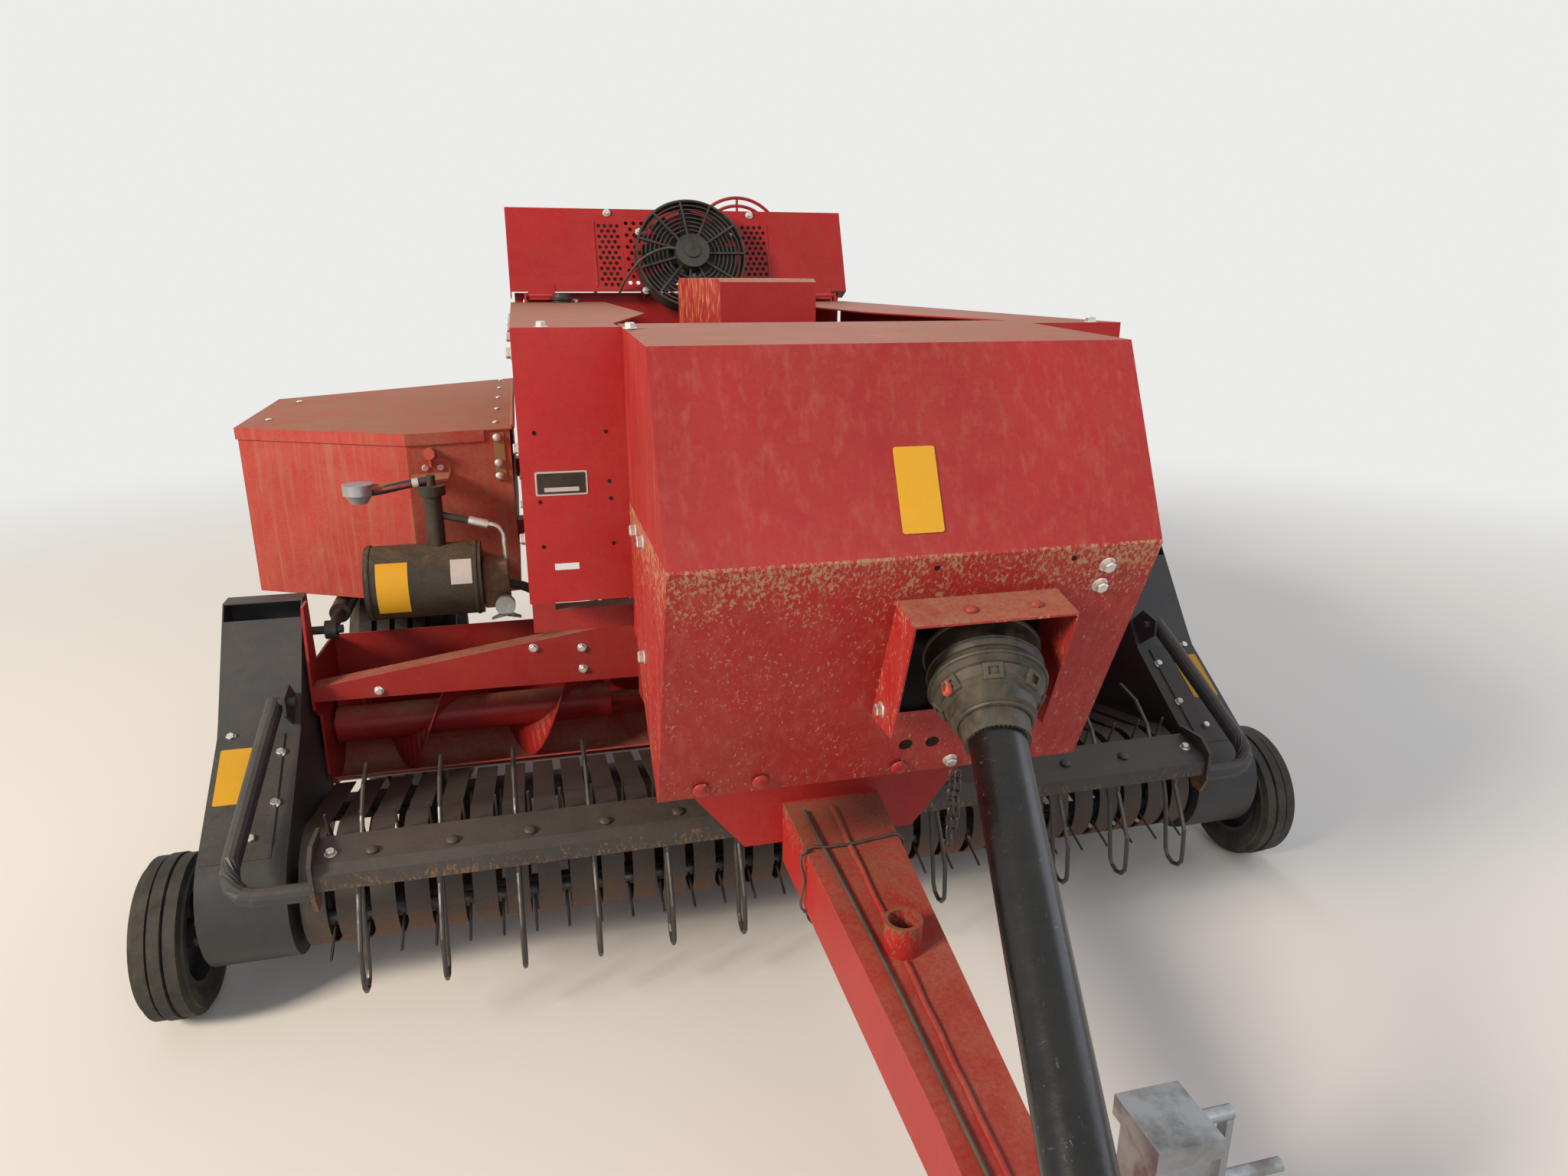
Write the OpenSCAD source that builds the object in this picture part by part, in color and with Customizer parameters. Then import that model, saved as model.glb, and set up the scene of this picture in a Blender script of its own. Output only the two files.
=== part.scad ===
// In-line small square baler, as it parks on its wheels and its drawbar jack.
// X runs across the machine, Y runs to its rear and Z is up, from the middle of its footprint.

/* [Main wheels] */
// Diameter of the main tyres
tyre_d = 700; // [640:10:720]
// Width of the main tyres
tyre_w = 280; // [240:10:290]
// Distance of a main wheel's middle from the machine's middle
wheel_x = 885; // [870:5:890]
// Where the axle is, behind the middle
axle_y = 510; // [500:5:540]
// Diameter of the main rims
rim_d = 405; // [380:5:430]

/* [Bale chamber] */
// Width of the bale
bale_w = 457; // [440:1:470]
// Height of the bale
bale_h = 356; // [340:1:370]
// Height of the chamber's floor above the ground
floor_z = 772; // [760:1:790]
// Thickness of the chamber's walls
wall = 6; // [4:1:8]
// Front end of the chamber
chamber_front_y = -640; // [-660:5:-620]
// Rear end of the chamber
chamber_end_y = 2080; // [2000:10:2150]
// Stiffening hoops round the chamber
hoop_count = 5; // [3:1:6]

/* [Frame and drawbar] */
// Height of the side rails
rail_h = 100; // [80:5:110]
// Width of the side rails
rail_w = 60; // [50:5:64]
// Plate thickness of the frame
plate = 6; // [4:1:8]
// Width of the drawbar at its root
tongue_root_w = 190; // [170:5:200]
// Width of the drawbar at its front
tongue_tip_w = 122; // [110:2:140]
// Depth of the drawbar's box section
tongue_h = 125; // [110:5:135]
// Where the hitch pin is
hitch_y = -2600; // [-2620:5:-2580]
// Bore of the hitch clevis
hitch_bore = 32; // [26:1:36]

/* [Hood and shields] */
// Half the width of the front hood
hood_half = 360; // [350:5:370]
// Half the width over the side shields
shield_half = 533; // [520:1:540]
// Height of the shields' tops
deck_z = 1430; // [1420:1:1440]
// Sheet thickness of hood and shields
sheet = 3; // [2:0.5:4]
// Distance of the drive's axis from the middle
drive_x = 90; // [80:5:100]
// Height of the drive's axis
drive_z = 947; // [935:1:955]

/* [Pickup] */
// Where the reel's axis is
reel_y = -455; // [-460:1:-450]
// Height of the reel's axis
reel_z = 265; // [262:1:270]
// Radius of the tines' tips
tine_r = 204; // [190:1:206]
// Radius of the strippers
stripper_r = 130; // [129:1:136]
// Spacing of the tines
tine_pitch = 67; // [64:1:68]
// Tines along each bar
tine_count = 30; // [20:2:30]
// Bars of tines
bar_count = 4; // [3:1:5]
// Inner face of the end covers
cover_in = 1048; // [1046:1:1060]
// Outer face of the end covers
cover_out = 1216; // [1200:1:1220]
// Radius of the end covers' rounded front
cover_r = 145; // [138:1:150]
// Diameter of the gauge wheels
gauge_d = 340; // [320:5:350]
// Width of the gauge wheels
gauge_w = 100; // [90:5:115]
// Distance of a gauge wheel's middle from the machine's middle
gauge_x = 1300; // [1290:1:1310]

/* [Auger] */
// Where the auger's axis and the pickup's pivot are
auger_y = 5; // [2:1:8]
// Height of the auger's axis
auger_z = 425; // [420:1:430]
// Radius of the flighting
flight_r = 125; // [110:1:127]
// Diameter of the auger's tube
auger_tube_d = 90; // [70:2:100]
// Lead of the flighting
flight_lead = 300; // [240:10:360]

/* [Twine boxes] */
// Height of the boxes' floor
box_z = 740; // [735:1:760]
// Height of the boxes' rim
box_top_z = 1150; // [1100:5:1160]

/* [Hidden] */
$fn = 48;

RED = [0.72, 0.06, 0.05];
BLACK = [0.08, 0.08, 0.09];
GREY = [0.20, 0.21, 0.22];
STEEL = [0.55, 0.55, 0.56];
RUBBER = [0.06, 0.06, 0.06];

// Faces that lie on each other on different bodies, and running gaps
seat = 0.3;
run_gap = 5;

ch_in = bale_w / 2;
ch_out = ch_in + wall;
roof_z = floor_z + bale_h;
ch_low = floor_z - wall;
ch_high = roof_z + wall;
rail_x = ch_out + 5.5;
rail_out = rail_x + rail_w;
rail_z = 800;
rail_top = rail_z + rail_h;
axle_z = tyre_d / 2;
bulkhead_y = -866;
hood_back_y = -790;

// Extrudes a side outline, drawn in Y and Z, from x0 to x1
module across(x0, x1) translate([x0, 0, 0]) rotate([90, 0, 90]) linear_extrude(x1 - x0) children();
// Extrudes a front outline, drawn in X and Z, from y0 to y1
module along(y0, y1) translate([0, y1, 0]) rotate([90, 0, 0]) linear_extrude(y1 - y0) children();
module both() { children(); mirror([1, 0, 0]) children(); }
// A block between two corners
module block(a, b) translate(a) cube(b - a);
// A shaft along X
module shaft(x0, x1, y, z, d) translate([x0, y, z]) rotate([0, 90, 0]) cylinder(h = x1 - x0, d = d);
// A round bar between two points
module bar(a, b, d) {
    v = b - a;
    translate(a) rotate([0, acos(v.z / norm(v)), atan2(v.y, v.x)]) cylinder(h = norm(v), d = d);
}

function unit(v) = v / norm(v);
function left_of(v) = [-v.y, v.x];
// Mitred offset, to the left, of point i of the open line p
function offset_point(p, i, t) =
    let (n = len(p) - 1,
         j = max(i, 1),
         k = min(i, n - 1),
         a = unit(p[j] - p[j - 1]),
         b = unit(p[k + 1] - p[k]),
         m = unit(left_of(a) + left_of(b)))
    p[i] + m * t / (m * left_of(a));
// A sheet of thickness t on the left of the open line p
function band(p, t) = concat(p, [for (i = [len(p) - 1 : -1 : 0]) offset_point(p, i, t)]);
// Points on an arc
function arc(c, r, a0, a1, n) = [for (i = [0 : n]) c + r * [cos(a0 + (a1 - a0) * i / n),
    sin(a0 + (a1 - a0) * i / n)]];

// A round section swept along the points p; side is never along the path
module swept(p, d, side = [1, 0, 0], sides = 8) {
    n = len(p);
    function tangent(i) = unit(p[min(i + 1, n - 1)] - p[max(i - 1, 0)]);
    rings = [for (i = [0 : n - 1])
        let (t = tangent(i), u = unit(cross(t, side)), v = cross(t, u))
        for (j = [0 : sides - 1]) p[i] + d / 2 * (cos(360 * j / sides) * u + sin(360 * j / sides) * v)];
    walls = [for (i = [0 : n - 2], j = [0 : sides - 1])
        let (a = i * sides + j, b = i * sides + (j + 1) % sides)
        [a, a + sides, b + sides, b]];
    caps = [[for (j = [0 : sides - 1]) j], [for (j = [sides - 1 : -1 : 0]) (n - 1) * sides + j]];
    polyhedron(rings, concat(walls, caps), convexity = 4);
}

// Main frame: side rails, front bulkhead with the drawbar's seat, and the gearbox's seats
bulkhead = [[-170, 465], [170, 465], [260, 575], [300, 660], [357, 800], [357, 1080], [-357, 1080],
            [-357, 800], [-300, 660], [-260, 575]];
post_w = 40;
module rail_section() difference() {
    square([rail_w, rail_h]);
    translate([-1, plate]) square([rail_w - plate + 1, rail_h - 2 * plate]);
}
module main_frame() color(RED) {
    difference() {
        along(bulkhead_y, bulkhead_y + plate) polygon(bulkhead);
        translate([drive_x, bulkhead_y - 1, drive_z]) rotate([-90, 0, 0]) cylinder(h = plate + 2, d = 150);
    }
    both() {
        along(bulkhead_y + plate, 380) translate([rail_x, rail_z]) rail_section();
        for (y = [-600, 300]) block([ch_out, y, rail_z], [rail_x + 6, y + 40, rail_top]);
        // gusset from the bulkhead to the drawbar's sides
        across(tongue_root_w / 2 + plate, tongue_root_w / 2 + 2 * plate)
            polygon([[bulkhead_y + plate, 480], [-795, 480], [-795, 620], [bulkhead_y + plate, 790]]);
        // hanger for the feed housing
        block([rail_x, cross_y + plate, 570], [rail_out - 1, cross_y + 56, rail_z]);
    }
    // seats under the gearbox
    block([-rail_x, -780, rail_z], [rail_x, -740, rail_z + 40]);
    block([-rail_x, -700, rail_z], [rail_x, -650, rail_z + 40]);
}
cheek_in = 345;
cross_y = -180;

// Posts and arms that carry the hood, the shields and their decks, and the gear cover's bridge
module shield_frame() color(RED) {
    post_out = shield_half - sheet;
    both() {
        block([357 - post_w, bulkhead_y + plate, rail_top], [357, bulkhead_y + plate + post_w, 1400]);
        block([rail_x, -780, rail_top], [post_out, -740, rail_top + post_w]);
        block([post_out - post_w, -780, rail_top], [post_out, -740, deck_z - sheet]);
        block([ch_out, 640, ch_high - 60], [post_out, 680, ch_high - 20]);
        block([post_out - post_w, 640, ch_high - 60], [post_out, 680, deck_z - sheet]);
    }
    block([-357 + post_w, bulkhead_y + plate, 1360], [357 - post_w, bulkhead_y + plate + post_w, 1400]);
    block([-ch_out, -150, ch_high], [ch_out, -90, cover_low]);
}

// Axle cheeks with their spacers to rail and chamber, and the needle yoke's pins
module axle_cheeks() color(RED) both() {
    across(cheek_in, cheek_in + 2 * plate)
        polygon([[290, 780], [420, axle_z + 45], [600, axle_z + 45], [600, 1070], [430, 1070], [290, 920]]);
    block([rail_out, 295, rail_z + 10], [cheek_in, 355, rail_top - 10]);
    block([ch_out, 450, 1012], [cheek_in, 570, 1062]);
    shaft(ch_out, cheek_in, yoke_y, yoke_z, yoke_pin);
}

// Arms that carry the twine boxes
module box_arms() color(RED) both() {
    block([cheek_in + 2 * plate, 300, box_z + 60], [556 - seat, 360, box_z + 120]);
    block([ch_out, 960, box_z + 120], [556 - seat, 1020, box_z + 180]);
}

// Axle: square beam with hubs' spindles, bolted under the cheeks
beam = 90;
module axle() color(RED) {
    block([-wheel_x + 185, axle_y - beam / 2, axle_z - beam / 2], [wheel_x - 185, axle_y + beam / 2,
        axle_z + beam / 2]);
    both() {
        shaft(wheel_x - 185, wheel_x - 60, axle_y, axle_z, 60);
        shaft(wheel_x - 60, wheel_x - 10 - seat, axle_y, axle_z, 150);
    }
}

// Drawbar: a box that tapers in plan and drops to the hitch, with its clevis and lamp-bar socket
tongue_line = [[bulkhead_y, 550], [-1560, 450], [-2000, 390], [hitch_y + 80, 390]];
socket_y = -1257;
function tongue_top(y) =
    y > tongue_line[1].x ? tongue_line[0].y + (tongue_line[1].y - tongue_line[0].y) * (y - tongue_line[0].x) / (tongue_line[1].x - tongue_line[0].x)
    : y > tongue_line[2].x ? tongue_line[1].y + (tongue_line[2].y - tongue_line[1].y) * (y - tongue_line[1].x) / (tongue_line[2].x - tongue_line[1].x)
    : tongue_line[2].y;
module drawbar() color(RED) {
    intersection() {
        across(-150, 150) polygon(concat(tongue_line, [for (i = [3 : -1 : 0]) tongue_line[i] - [0,
            tongue_h - 10 * i]]));
        linear_extrude(700) polygon([
            [-tongue_root_w / 2, bulkhead_y], [-tongue_tip_w / 2, -1560], [-tongue_tip_w / 2, hitch_y + 80],
            [tongue_tip_w / 2, hitch_y + 80], [tongue_tip_w / 2, -1560], [tongue_root_w / 2, bulkhead_y]]);
    }
    // clevis
    for (z = [390 - 8 - 12, 300]) difference() {
        union() {
            block([-50, hitch_y, z], [50, hitch_y + 140, z + 18]);
            translate([0, hitch_y, z]) cylinder(h = 18, d = 100);
        }
        translate([0, hitch_y, z - 1]) cylinder(h = 20, d = hitch_bore);
    }
    // upright socket on the top
    translate([0, socket_y, tongue_top(socket_y) - 12]) difference() {
        cylinder(h = 62, d = 62);
        translate([0, 0, 20]) cylinder(h = 50, d = 48);
    }
    // bracket that carries the jack, and the rest that holds the parked shaft
    block([tongue_tip_w / 2 - 1, jack_y - 40, 320], [jack_x - jack_tube / 2, jack_y + 40, 420]);
    difference() {
        block([rest_x - 58, rest_y - 5, tongue_top(rest_y) - 8], [rest_x + 58, rest_y + 5, rest_z]);
        on_shaft() translate([0, 0, 500]) cylinder(h = 500, d = shaft_tube_d + 2 * seat);
    }
}
rest_y = -1930;
rest_x = -51;
rest_z = 561;

// Jack: outer tube on the drawbar, inner leg with its foot on the ground
jack_x = 180;
jack_y = -1690;
jack_tube = 76;
jack_low = 230;
jack_top = 500;
module jack_tube() color(STEEL) {
    difference() {
        block([jack_x - jack_tube / 2, jack_y - jack_tube / 2, jack_low], [jack_x + jack_tube / 2,
            jack_y + jack_tube / 2, jack_top]);
        block([jack_x - jack_tube / 2 + 5, jack_y - jack_tube / 2 + 5, jack_low - 10],
            [jack_x + jack_tube / 2 - 5, jack_y + jack_tube / 2 - 5, jack_top - 6]);
    }
    block([jack_x - 45, jack_y - 47, jack_top], [jack_x + 45, jack_y + 47, jack_top + 30]);
    shaft(jack_x + 45, jack_x + 90, jack_y, jack_top + 15, 18);
    block([jack_x + 80, jack_y - 8, 400], [jack_x + 90, jack_y + 8, jack_top + 10]);
    bar([jack_x + 90, jack_y, 408], [jack_x + 180, jack_y, 408], 18);
}
module jack_leg() color(STEEL) {
    leg = jack_tube - 10 - 2 * seat;
    block([jack_x - leg / 2, jack_y - leg / 2, 8], [jack_x + leg / 2, jack_y + leg / 2, jack_low + 50]);
    block([jack_x - 80, jack_y - 80, 0], [jack_x + 80, jack_y + 80, 8]);
}

// Bale chamber: two walls, floor with the feed mouth, roof with the needles' slots, and hoops
feed_front_y = -20;
feed_back_y = 330;
roof_front_y = 380;
needle_x = 100;
needle_r = 400;
needle_t = 24;
yoke_y = axle_y;
yoke_z = floor_z + bale_h / 2;
hoop_first_y = 1060;
hoop_h = 40;
chute_lug = 180;
meter_p = [1185, roof_z + 85];
function needle_reach(z, r) = yoke_y + sqrt(r * r - pow(z - yoke_z, 2));
module needle_slots(low, high) both()
    block([needle_x - 12, needle_reach(low, needle_r - needle_t / 2) - 8, low - 1],
          [needle_x + 12, needle_reach(low, needle_r + needle_t / 2) + 20, high + 1]);
module bale_chamber() color(RED) {
    difference() {
        union() {
            both() block([ch_in, chamber_front_y, ch_low], [ch_out, chamber_end_y, ch_high]);
            block([-ch_in, chamber_front_y, ch_low], [ch_in, feed_front_y, floor_z]);
            block([-ch_in, feed_back_y, ch_low], [ch_in, chamber_end_y, floor_z]);
            block([-ch_in, roof_front_y, roof_z], [ch_in, chamber_end_y, ch_high]);
        }
        needle_slots(ch_low, floor_z);
        mirror([0, 0, 1]) translate([0, 0, -2 * yoke_z]) needle_slots(ch_low, floor_z);
        // windows in the walls behind the knotters
        for (i = [0 : 1]) block([-ch_out - 1, 1600 + 250 * i, floor_z + 90], [ch_out + 1, 1760 + 250 * i,
            roof_z - 90]);
        block([-10, meter_p.x - 125, roof_z - 1], [10, meter_p.x + 125, ch_high + 1]);
    }
    // chute lugs and pin
    last_hoop_y = chamber_end_y - 10;
    both() across(chute_lug, chute_lug + 8) polygon([
        [last_hoop_y, ch_low - hoop_h + 4], [last_hoop_y, ch_low], [chute_p.x, chute_p.y + 10],
        [chute_p.x + 10, chute_p.y], [chute_p.x, chute_p.y - 10]]);
    shaft(-chute_lug - 8, chute_lug + 8, chute_p.x, chute_p.y, 12);
    // metering wheel's arm and pin
    both() across(14, 20) polygon([[meter_p.x - 30, ch_high], [meter_p.x + 60, ch_high],
                                   [meter_p.x + 15, meter_p.y + 18], [meter_p.x - 15, meter_p.y + 18]]);
    shaft(-20, 20, meter_p.x, meter_p.y, 20);
    pitch = (chamber_end_y - 20 - hoop_first_y) / (hoop_count - 1);
    for (i = [0 : hoop_count - 1]) along(hoop_first_y + pitch * i - 10,
        hoop_first_y + pitch * i + 10) difference() {
        translate([-ch_out - hoop_h, ch_low - hoop_h]) square([2 * (ch_out + hoop_h),
            ch_high - ch_low + 2 * hoop_h]);
        translate([-ch_out, ch_low]) square([2 * ch_out, ch_high - ch_low]);
    }
}

// Front hood: one folded sheet with side plates and the tunnel round the drive shaft
hood_line = [[hood_back_y, deck_z + 2], [-1166, 1419], [-1297, 1142], [-1116, 721]];
hood_side = concat(hood_line, [[-1100, 712], [-930, 855], [-868, 985], [hood_back_y, 985]]);
tunnel_x = [-31, 210];
tunnel_low = 859;
tunnel_high = 1072;
tunnel_lip = [[-1335, 1055], [-1264, tunnel_low]];
function hood_front(z) = hood_line[3].x + (hood_line[2].x - hood_line[3].x) * (z - hood_line[3].y) / (hood_line[2].y - hood_line[3].y);
module front_hood() color(RED) {
    difference() {
        union() {
            across(-hood_half, hood_half) polygon(band(hood_line, sheet));
            both() across(hood_half - sheet, hood_half) polygon(hood_side);
        }
        block([tunnel_x[0], -1400, tunnel_low], [tunnel_x[1], -1100, tunnel_high - 6]);
    }
    tunnel_side = [[hood_front(tunnel_high) + 1, tunnel_high], tunnel_lip[0], tunnel_lip[1],
        [hood_front(tunnel_low) + 1, tunnel_low]];
    for (x = [tunnel_x[0] - sheet, tunnel_x[1]]) across(x, x + sheet) polygon(tunnel_side);
    across(tunnel_x[0] - sheet, tunnel_x[1] + sheet)
        polygon([tunnel_side[0], tunnel_side[1], tunnel_side[1] + [0, sheet], tunnel_side[0] + [0, sheet]]);
}

// Side shields: front plate, side wall and deck
deck_in_front = 362;
deck_in_back = 250;
shield_low = 979;
shield_front_y = -860;
shield_back_y = 782;
module side_shield() color(RED) {
    difference() {
        along(shield_front_y, shield_front_y + sheet)
            polygon([[hood_half + seat, shield_low], [shield_half, shield_low], [shield_half, deck_z],
                [hood_half + seat, deck_z]]);
        translate([448, shield_front_y - 1, 1035]) cube([40, sheet + 2, 12]);
    }
    block([shield_half - sheet, shield_front_y, shield_low], [shield_half, shield_back_y, deck_z]);
    translate([0, 0, deck_z - sheet]) linear_extrude(sheet) polygon([
        [shield_half, shield_front_y], [shield_half, shield_back_y], [deck_in_back, shield_back_y],
        [deck_in_back, -250], [deck_in_front, hood_back_y + 60], [deck_in_front, shield_front_y]]);
    // lugs and pin of the knotter cover's hinge
    for (x = [388, 486]) across(x, x + 6)
        polygon([[hinge_p.x - 22, deck_z], [hinge_p.x + 22, deck_z], [hinge_p.x + 9, hinge_p.y + 9],
            [hinge_p.x - 9, hinge_p.y + 9]]);
    shaft(388, 492, hinge_p.x, hinge_p.y, 12);
}
module side_shield_left() side_shield();
module side_shield_right() mirror([1, 0, 0]) side_shield();

// Flywheel with the input shaft in front of it
flywheel_d = 480;
module flywheel() color(GREY) translate([drive_x, 0, drive_z]) rotate([-90, 0, 0]) {
    translate([0, 0, -1020]) rotate_extrude() polygon([
        [0, 0], [60, 0], [60, 20], [180, 20], [180, 0], [flywheel_d / 2, 0], [flywheel_d / 2, 80],
        [180, 80], [180, 50], [60, 50], [60, 70], [30, 70], [30, 190 - seat], [0, 190 - seat]]);
    translate([0, 0, -1225]) cylinder(h = 205, d = 44);
}

// Drive gearbox, a closed casting
module drive_gearbox() color(GREY) {
    block([-150, -790, rail_z + 40], [150, -560, rail_z + 60]);
    block([-130, -770, rail_z + 60], [130, -580, 1080]);
    translate([drive_x, -770, drive_z]) rotate([90, 0, 0]) cylinder(h = 60, d = 140);
    shaft(-170 + seat, 170 - seat, -675, 950, 110);
}

// Cranks and connecting rods, stopped with the cranks up
crank_r = 250;
crank_a = 60;
crank_y = -675;
crank_z = 950;
pin_y = crank_y + crank_r * cos(crank_a);
pin_z = crank_z + crank_r * sin(crank_a);
rod_len = 700;
wrist_y = pin_y + sqrt(rod_len * rod_len - pow(pin_z - crank_z, 2));
module link(a, b, r) hull() { translate(a) circle(r); translate(b) circle(r); }
module crank_and_rods() color(STEEL) both() {
    across(170, 195) link([crank_y, crank_z], [pin_y, pin_z], 60);
    shaft(150, 170, pin_y, pin_z, 50);
    across(130, 150) difference() {
        link([pin_y, pin_z], [wrist_y, crank_z], 35);
        translate([wrist_y, crank_z]) circle(d = 40.2);
    }
}

// Plunger inside the chamber
module plunger() color(RED) {
    difference() {
        block([-ch_in + seat, wrist_y - 60, floor_z + seat], [ch_in - seat, wrist_y + 330, roof_z - 4]);
        block([-ch_in + 20, wrist_y - 61, floor_z + 24], [ch_in - 20, wrist_y + 300, roof_z - 24]);
    }
    shaft(-ch_in + 20, ch_in - 20, wrist_y, crank_z, 40);
}

// Cover over the knotters' drive
cover_low = 1180;
cover_line = [[-390, cover_low], [-390, 1496], [-370, 1503], [160, 1503], [180, 1490], [180, cover_low]];
module gear_cover() color(RED) {
    across(-109, 97) polygon(band([for (i = [5 : -1 : 0]) cover_line[i]], sheet));
    for (x = [-109, 97 - sheet]) across(x, x + sheet) polygon(cover_line);
}

// Guard of the parked drive shaft: ribbed cone and tube
cone_p = [98, -1295, 945];
shaft_tube_d = 80;
rest_p = [rest_x, rest_y, rest_z];
shaft_dir = unit(rest_p - cone_p);
module on_shaft() translate(cone_p) rotate([0, acos(shaft_dir.z), atan2(shaft_dir.y,
    shaft_dir.x)]) children();
module pto_guard() color(BLACK) on_shaft() {
    translate([0, 0, 60]) difference() {
        cylinder(h = 850, d = shaft_tube_d);
        translate([0, 0, 780]) cylinder(h = 71, d = shaft_tube_d - 8);
    }
    translate([0, 0, 840]) cylinder(h = 110, d = 50);
    rotate_extrude() polygon([
        [76, -70], [84, -60], [84, -20], [80, -12], [84, -6], [84, 6], [76, 14], [78, 20], [70, 30],
        [70, 36], [62, 42], [60, 62], [50, 70], [46, 100], [20, 100], [20, 62], [52, 50], [66, 20], [76,
            -20]]);
}

// Needle yoke: two arms on the chamber's sides, a cross tube and two curved needles
yoke_base = -100;
yoke_tip = -32;
arm_x = [312, 328];
module needle_yoke() color(STEEL) {
    tube_p = [yoke_y + needle_r * cos(yoke_base), yoke_z + needle_r * sin(yoke_base)];
    both() {
        difference() {
            across(arm_x[0], arm_x[1]) union() {
                link([yoke_y, yoke_z], tube_p, 28);
                translate([yoke_y, yoke_z]) circle(40);
            }
            shaft(arm_x[0] - 1, arm_x[1] + 1, yoke_y, yoke_z, yoke_pin + 0.1);
        }
        translate([needle_x, yoke_y, yoke_z]) rotate([90, 0, 90]) translate([0, 0, -7]) {
            rotate([0, 0, yoke_base]) rotate_extrude(angle = yoke_tip - yoke_base)
                translate([needle_r - needle_t / 2, 0]) square([needle_t, 14]);
        }
    }
    shaft(-arm_x[1], arm_x[1], tube_p.x, tube_p.y, 50);
}
yoke_pin = 40;

// Knotters: cross shaft, discs and frames on the roof
knot_y = 870;
module knotter_stack() color(STEEL) {
    shaft(-330, 330, knot_y + 110, 1340, 36);
    both() {
        block([needle_x + 25, knot_y - 40, ch_high], [needle_x + 45, knot_y + 170, 1320]);
        block([needle_x - 60, knot_y + 20, ch_high], [needle_x - 40, knot_y + 170, 1320]);
        shaft(needle_x - 70, needle_x - 40, knot_y + 110, 1340, 180);
        shaft(needle_x + 25, needle_x + 50, knot_y + 110, 1340, 120);
        block([ch_out - 24, knot_y + 80, ch_high], [ch_out - 4, knot_y + 140, 1340]);
    }
    shaft(290, 310, knot_y + 110, 1340, 200);
}

// Knotter cover: a hood hinged at its front foot
cover_foot = [755, 1462];
cover_head = [852, 1707];
cover_half = 532;
screen_half = 345 / 2 + 10;
knotter_line = [cover_foot, cover_head, [1240, 1690], [1330, 1500]];
hinge_p = [748, 1448];
module knotter_cover() color(RED) {
    difference() {
        union() {
            across(-cover_half, cover_half) polygon(band([for (i = [3 : -1 : 0]) knotter_line[i]], sheet));
            both() across(cover_half - sheet, cover_half) polygon(concat(knotter_line, [[1330, 1440],
                [800, 1440]]));
        }
        on_screen() translate([-screen_half, 12, -10]) cube([2 * screen_half, screen_h - 36, 20]);
    }
    both() difference() {
        across(400, 480) polygon([[740, 1438], [756, 1438], [768, 1480], [762, 1484]]);
        shaft(399, 481, hinge_p.x, hinge_p.y, 12.1);
    }
}

// Screen with staggered holes in the middle of the cover's front
tilt = atan2(cover_head.x - cover_foot.x, cover_head.y - cover_foot.y);
screen_h = norm(cover_head - cover_foot);
hole_pitch = 24;
module on_screen() translate([0, cover_foot.x, cover_foot.y]) rotate([90 - tilt, 0, 0]) children();
module knotter_screen() color(RED) on_screen() translate([0, 0,
    -sheet]) linear_extrude(sheet) difference() {
    translate([-screen_half + seat, 12 + seat]) square([2 * (screen_half - seat),
        screen_h - 36 - 2 * seat]);
    for (i = [-7 : 7], j = [0 : 10]) {
        u = (i + (j % 2) / 2) * hole_pitch;
        if (abs(u) < screen_half - 14) translate([u, 28 + j * 19]) circle(d = 14, $fn = 6);
    }
}

// Fan on the screen: shroud, ring grille, ribs and motor
fan_d = 340;
fan_c = [17, 90];
fan_gap = 22;
module fan() color(BLACK) on_screen() translate([fan_c.x, fan_c.y, fan_gap]) {
    difference() {
        cylinder(h = 60, d = fan_d);
        translate([0, 0, -1]) cylinder(h = 62, d = fan_d - 12);
    }
    for (r = [75 : 13 : fan_d / 2 - 8]) translate([0, 0, 50]) difference() {
        cylinder(h = 6, r = r + 2);
        translate([0, 0, -1]) cylinder(h = 8, r = r - 2);
    }
    for (i = [0 : 10]) rotate(i * 360 / 11) translate([45, -3, 54]) cube([fan_d / 2 - 47, 6, 8]);
    translate([0, 0, 20]) cylinder(h = 62, d = 104);
    cylinder(h = 25, d = 150);
    for (a = [30, 150, 215, 325]) rotate(a) translate([fan_d / 2 - 8, -10, -fan_gap + seat]) cube([22,
        20, fan_gap + 10]);
}

// Twine boxes: five-sided tubs with lids hinged on the inner rim
box_in = 556;
box_plan = [[box_in, 26], [793, -23], [1198, 180], [1218, 796], [box_in, 1307]];
lip_gap = 2;
function box_face(x) = x > box_plan[1].x
    ? box_plan[1].y + (x - box_plan[1].x) * (box_plan[2].y - box_plan[1].y) / (box_plan[2].x - box_plan[1].x)
    : box_plan[0].y + (x - box_plan[0].x) * (box_plan[1].y - box_plan[0].y) / (box_plan[1].x - box_plan[0].x);
function inset(p, t) = [for (i = [0 : len(p) - 1])
    let (n = len(p),
         a = unit(p[i] - p[(i + n - 1) % n]),
         b = unit(p[(i + 1) % n] - p[i]),
         m = unit(left_of(a) + left_of(b)))
    p[i] + m * t / (m * left_of(a))];
module twine_box() color(RED) translate([0, 0, box_z]) difference() {
    linear_extrude(box_top_z - box_z) polygon(box_plan);
    translate([0, 0, sheet]) linear_extrude(box_top_z) polygon(inset(box_plan, sheet));
}
hinge_off = 7;
hinge_d = 12;
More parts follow.
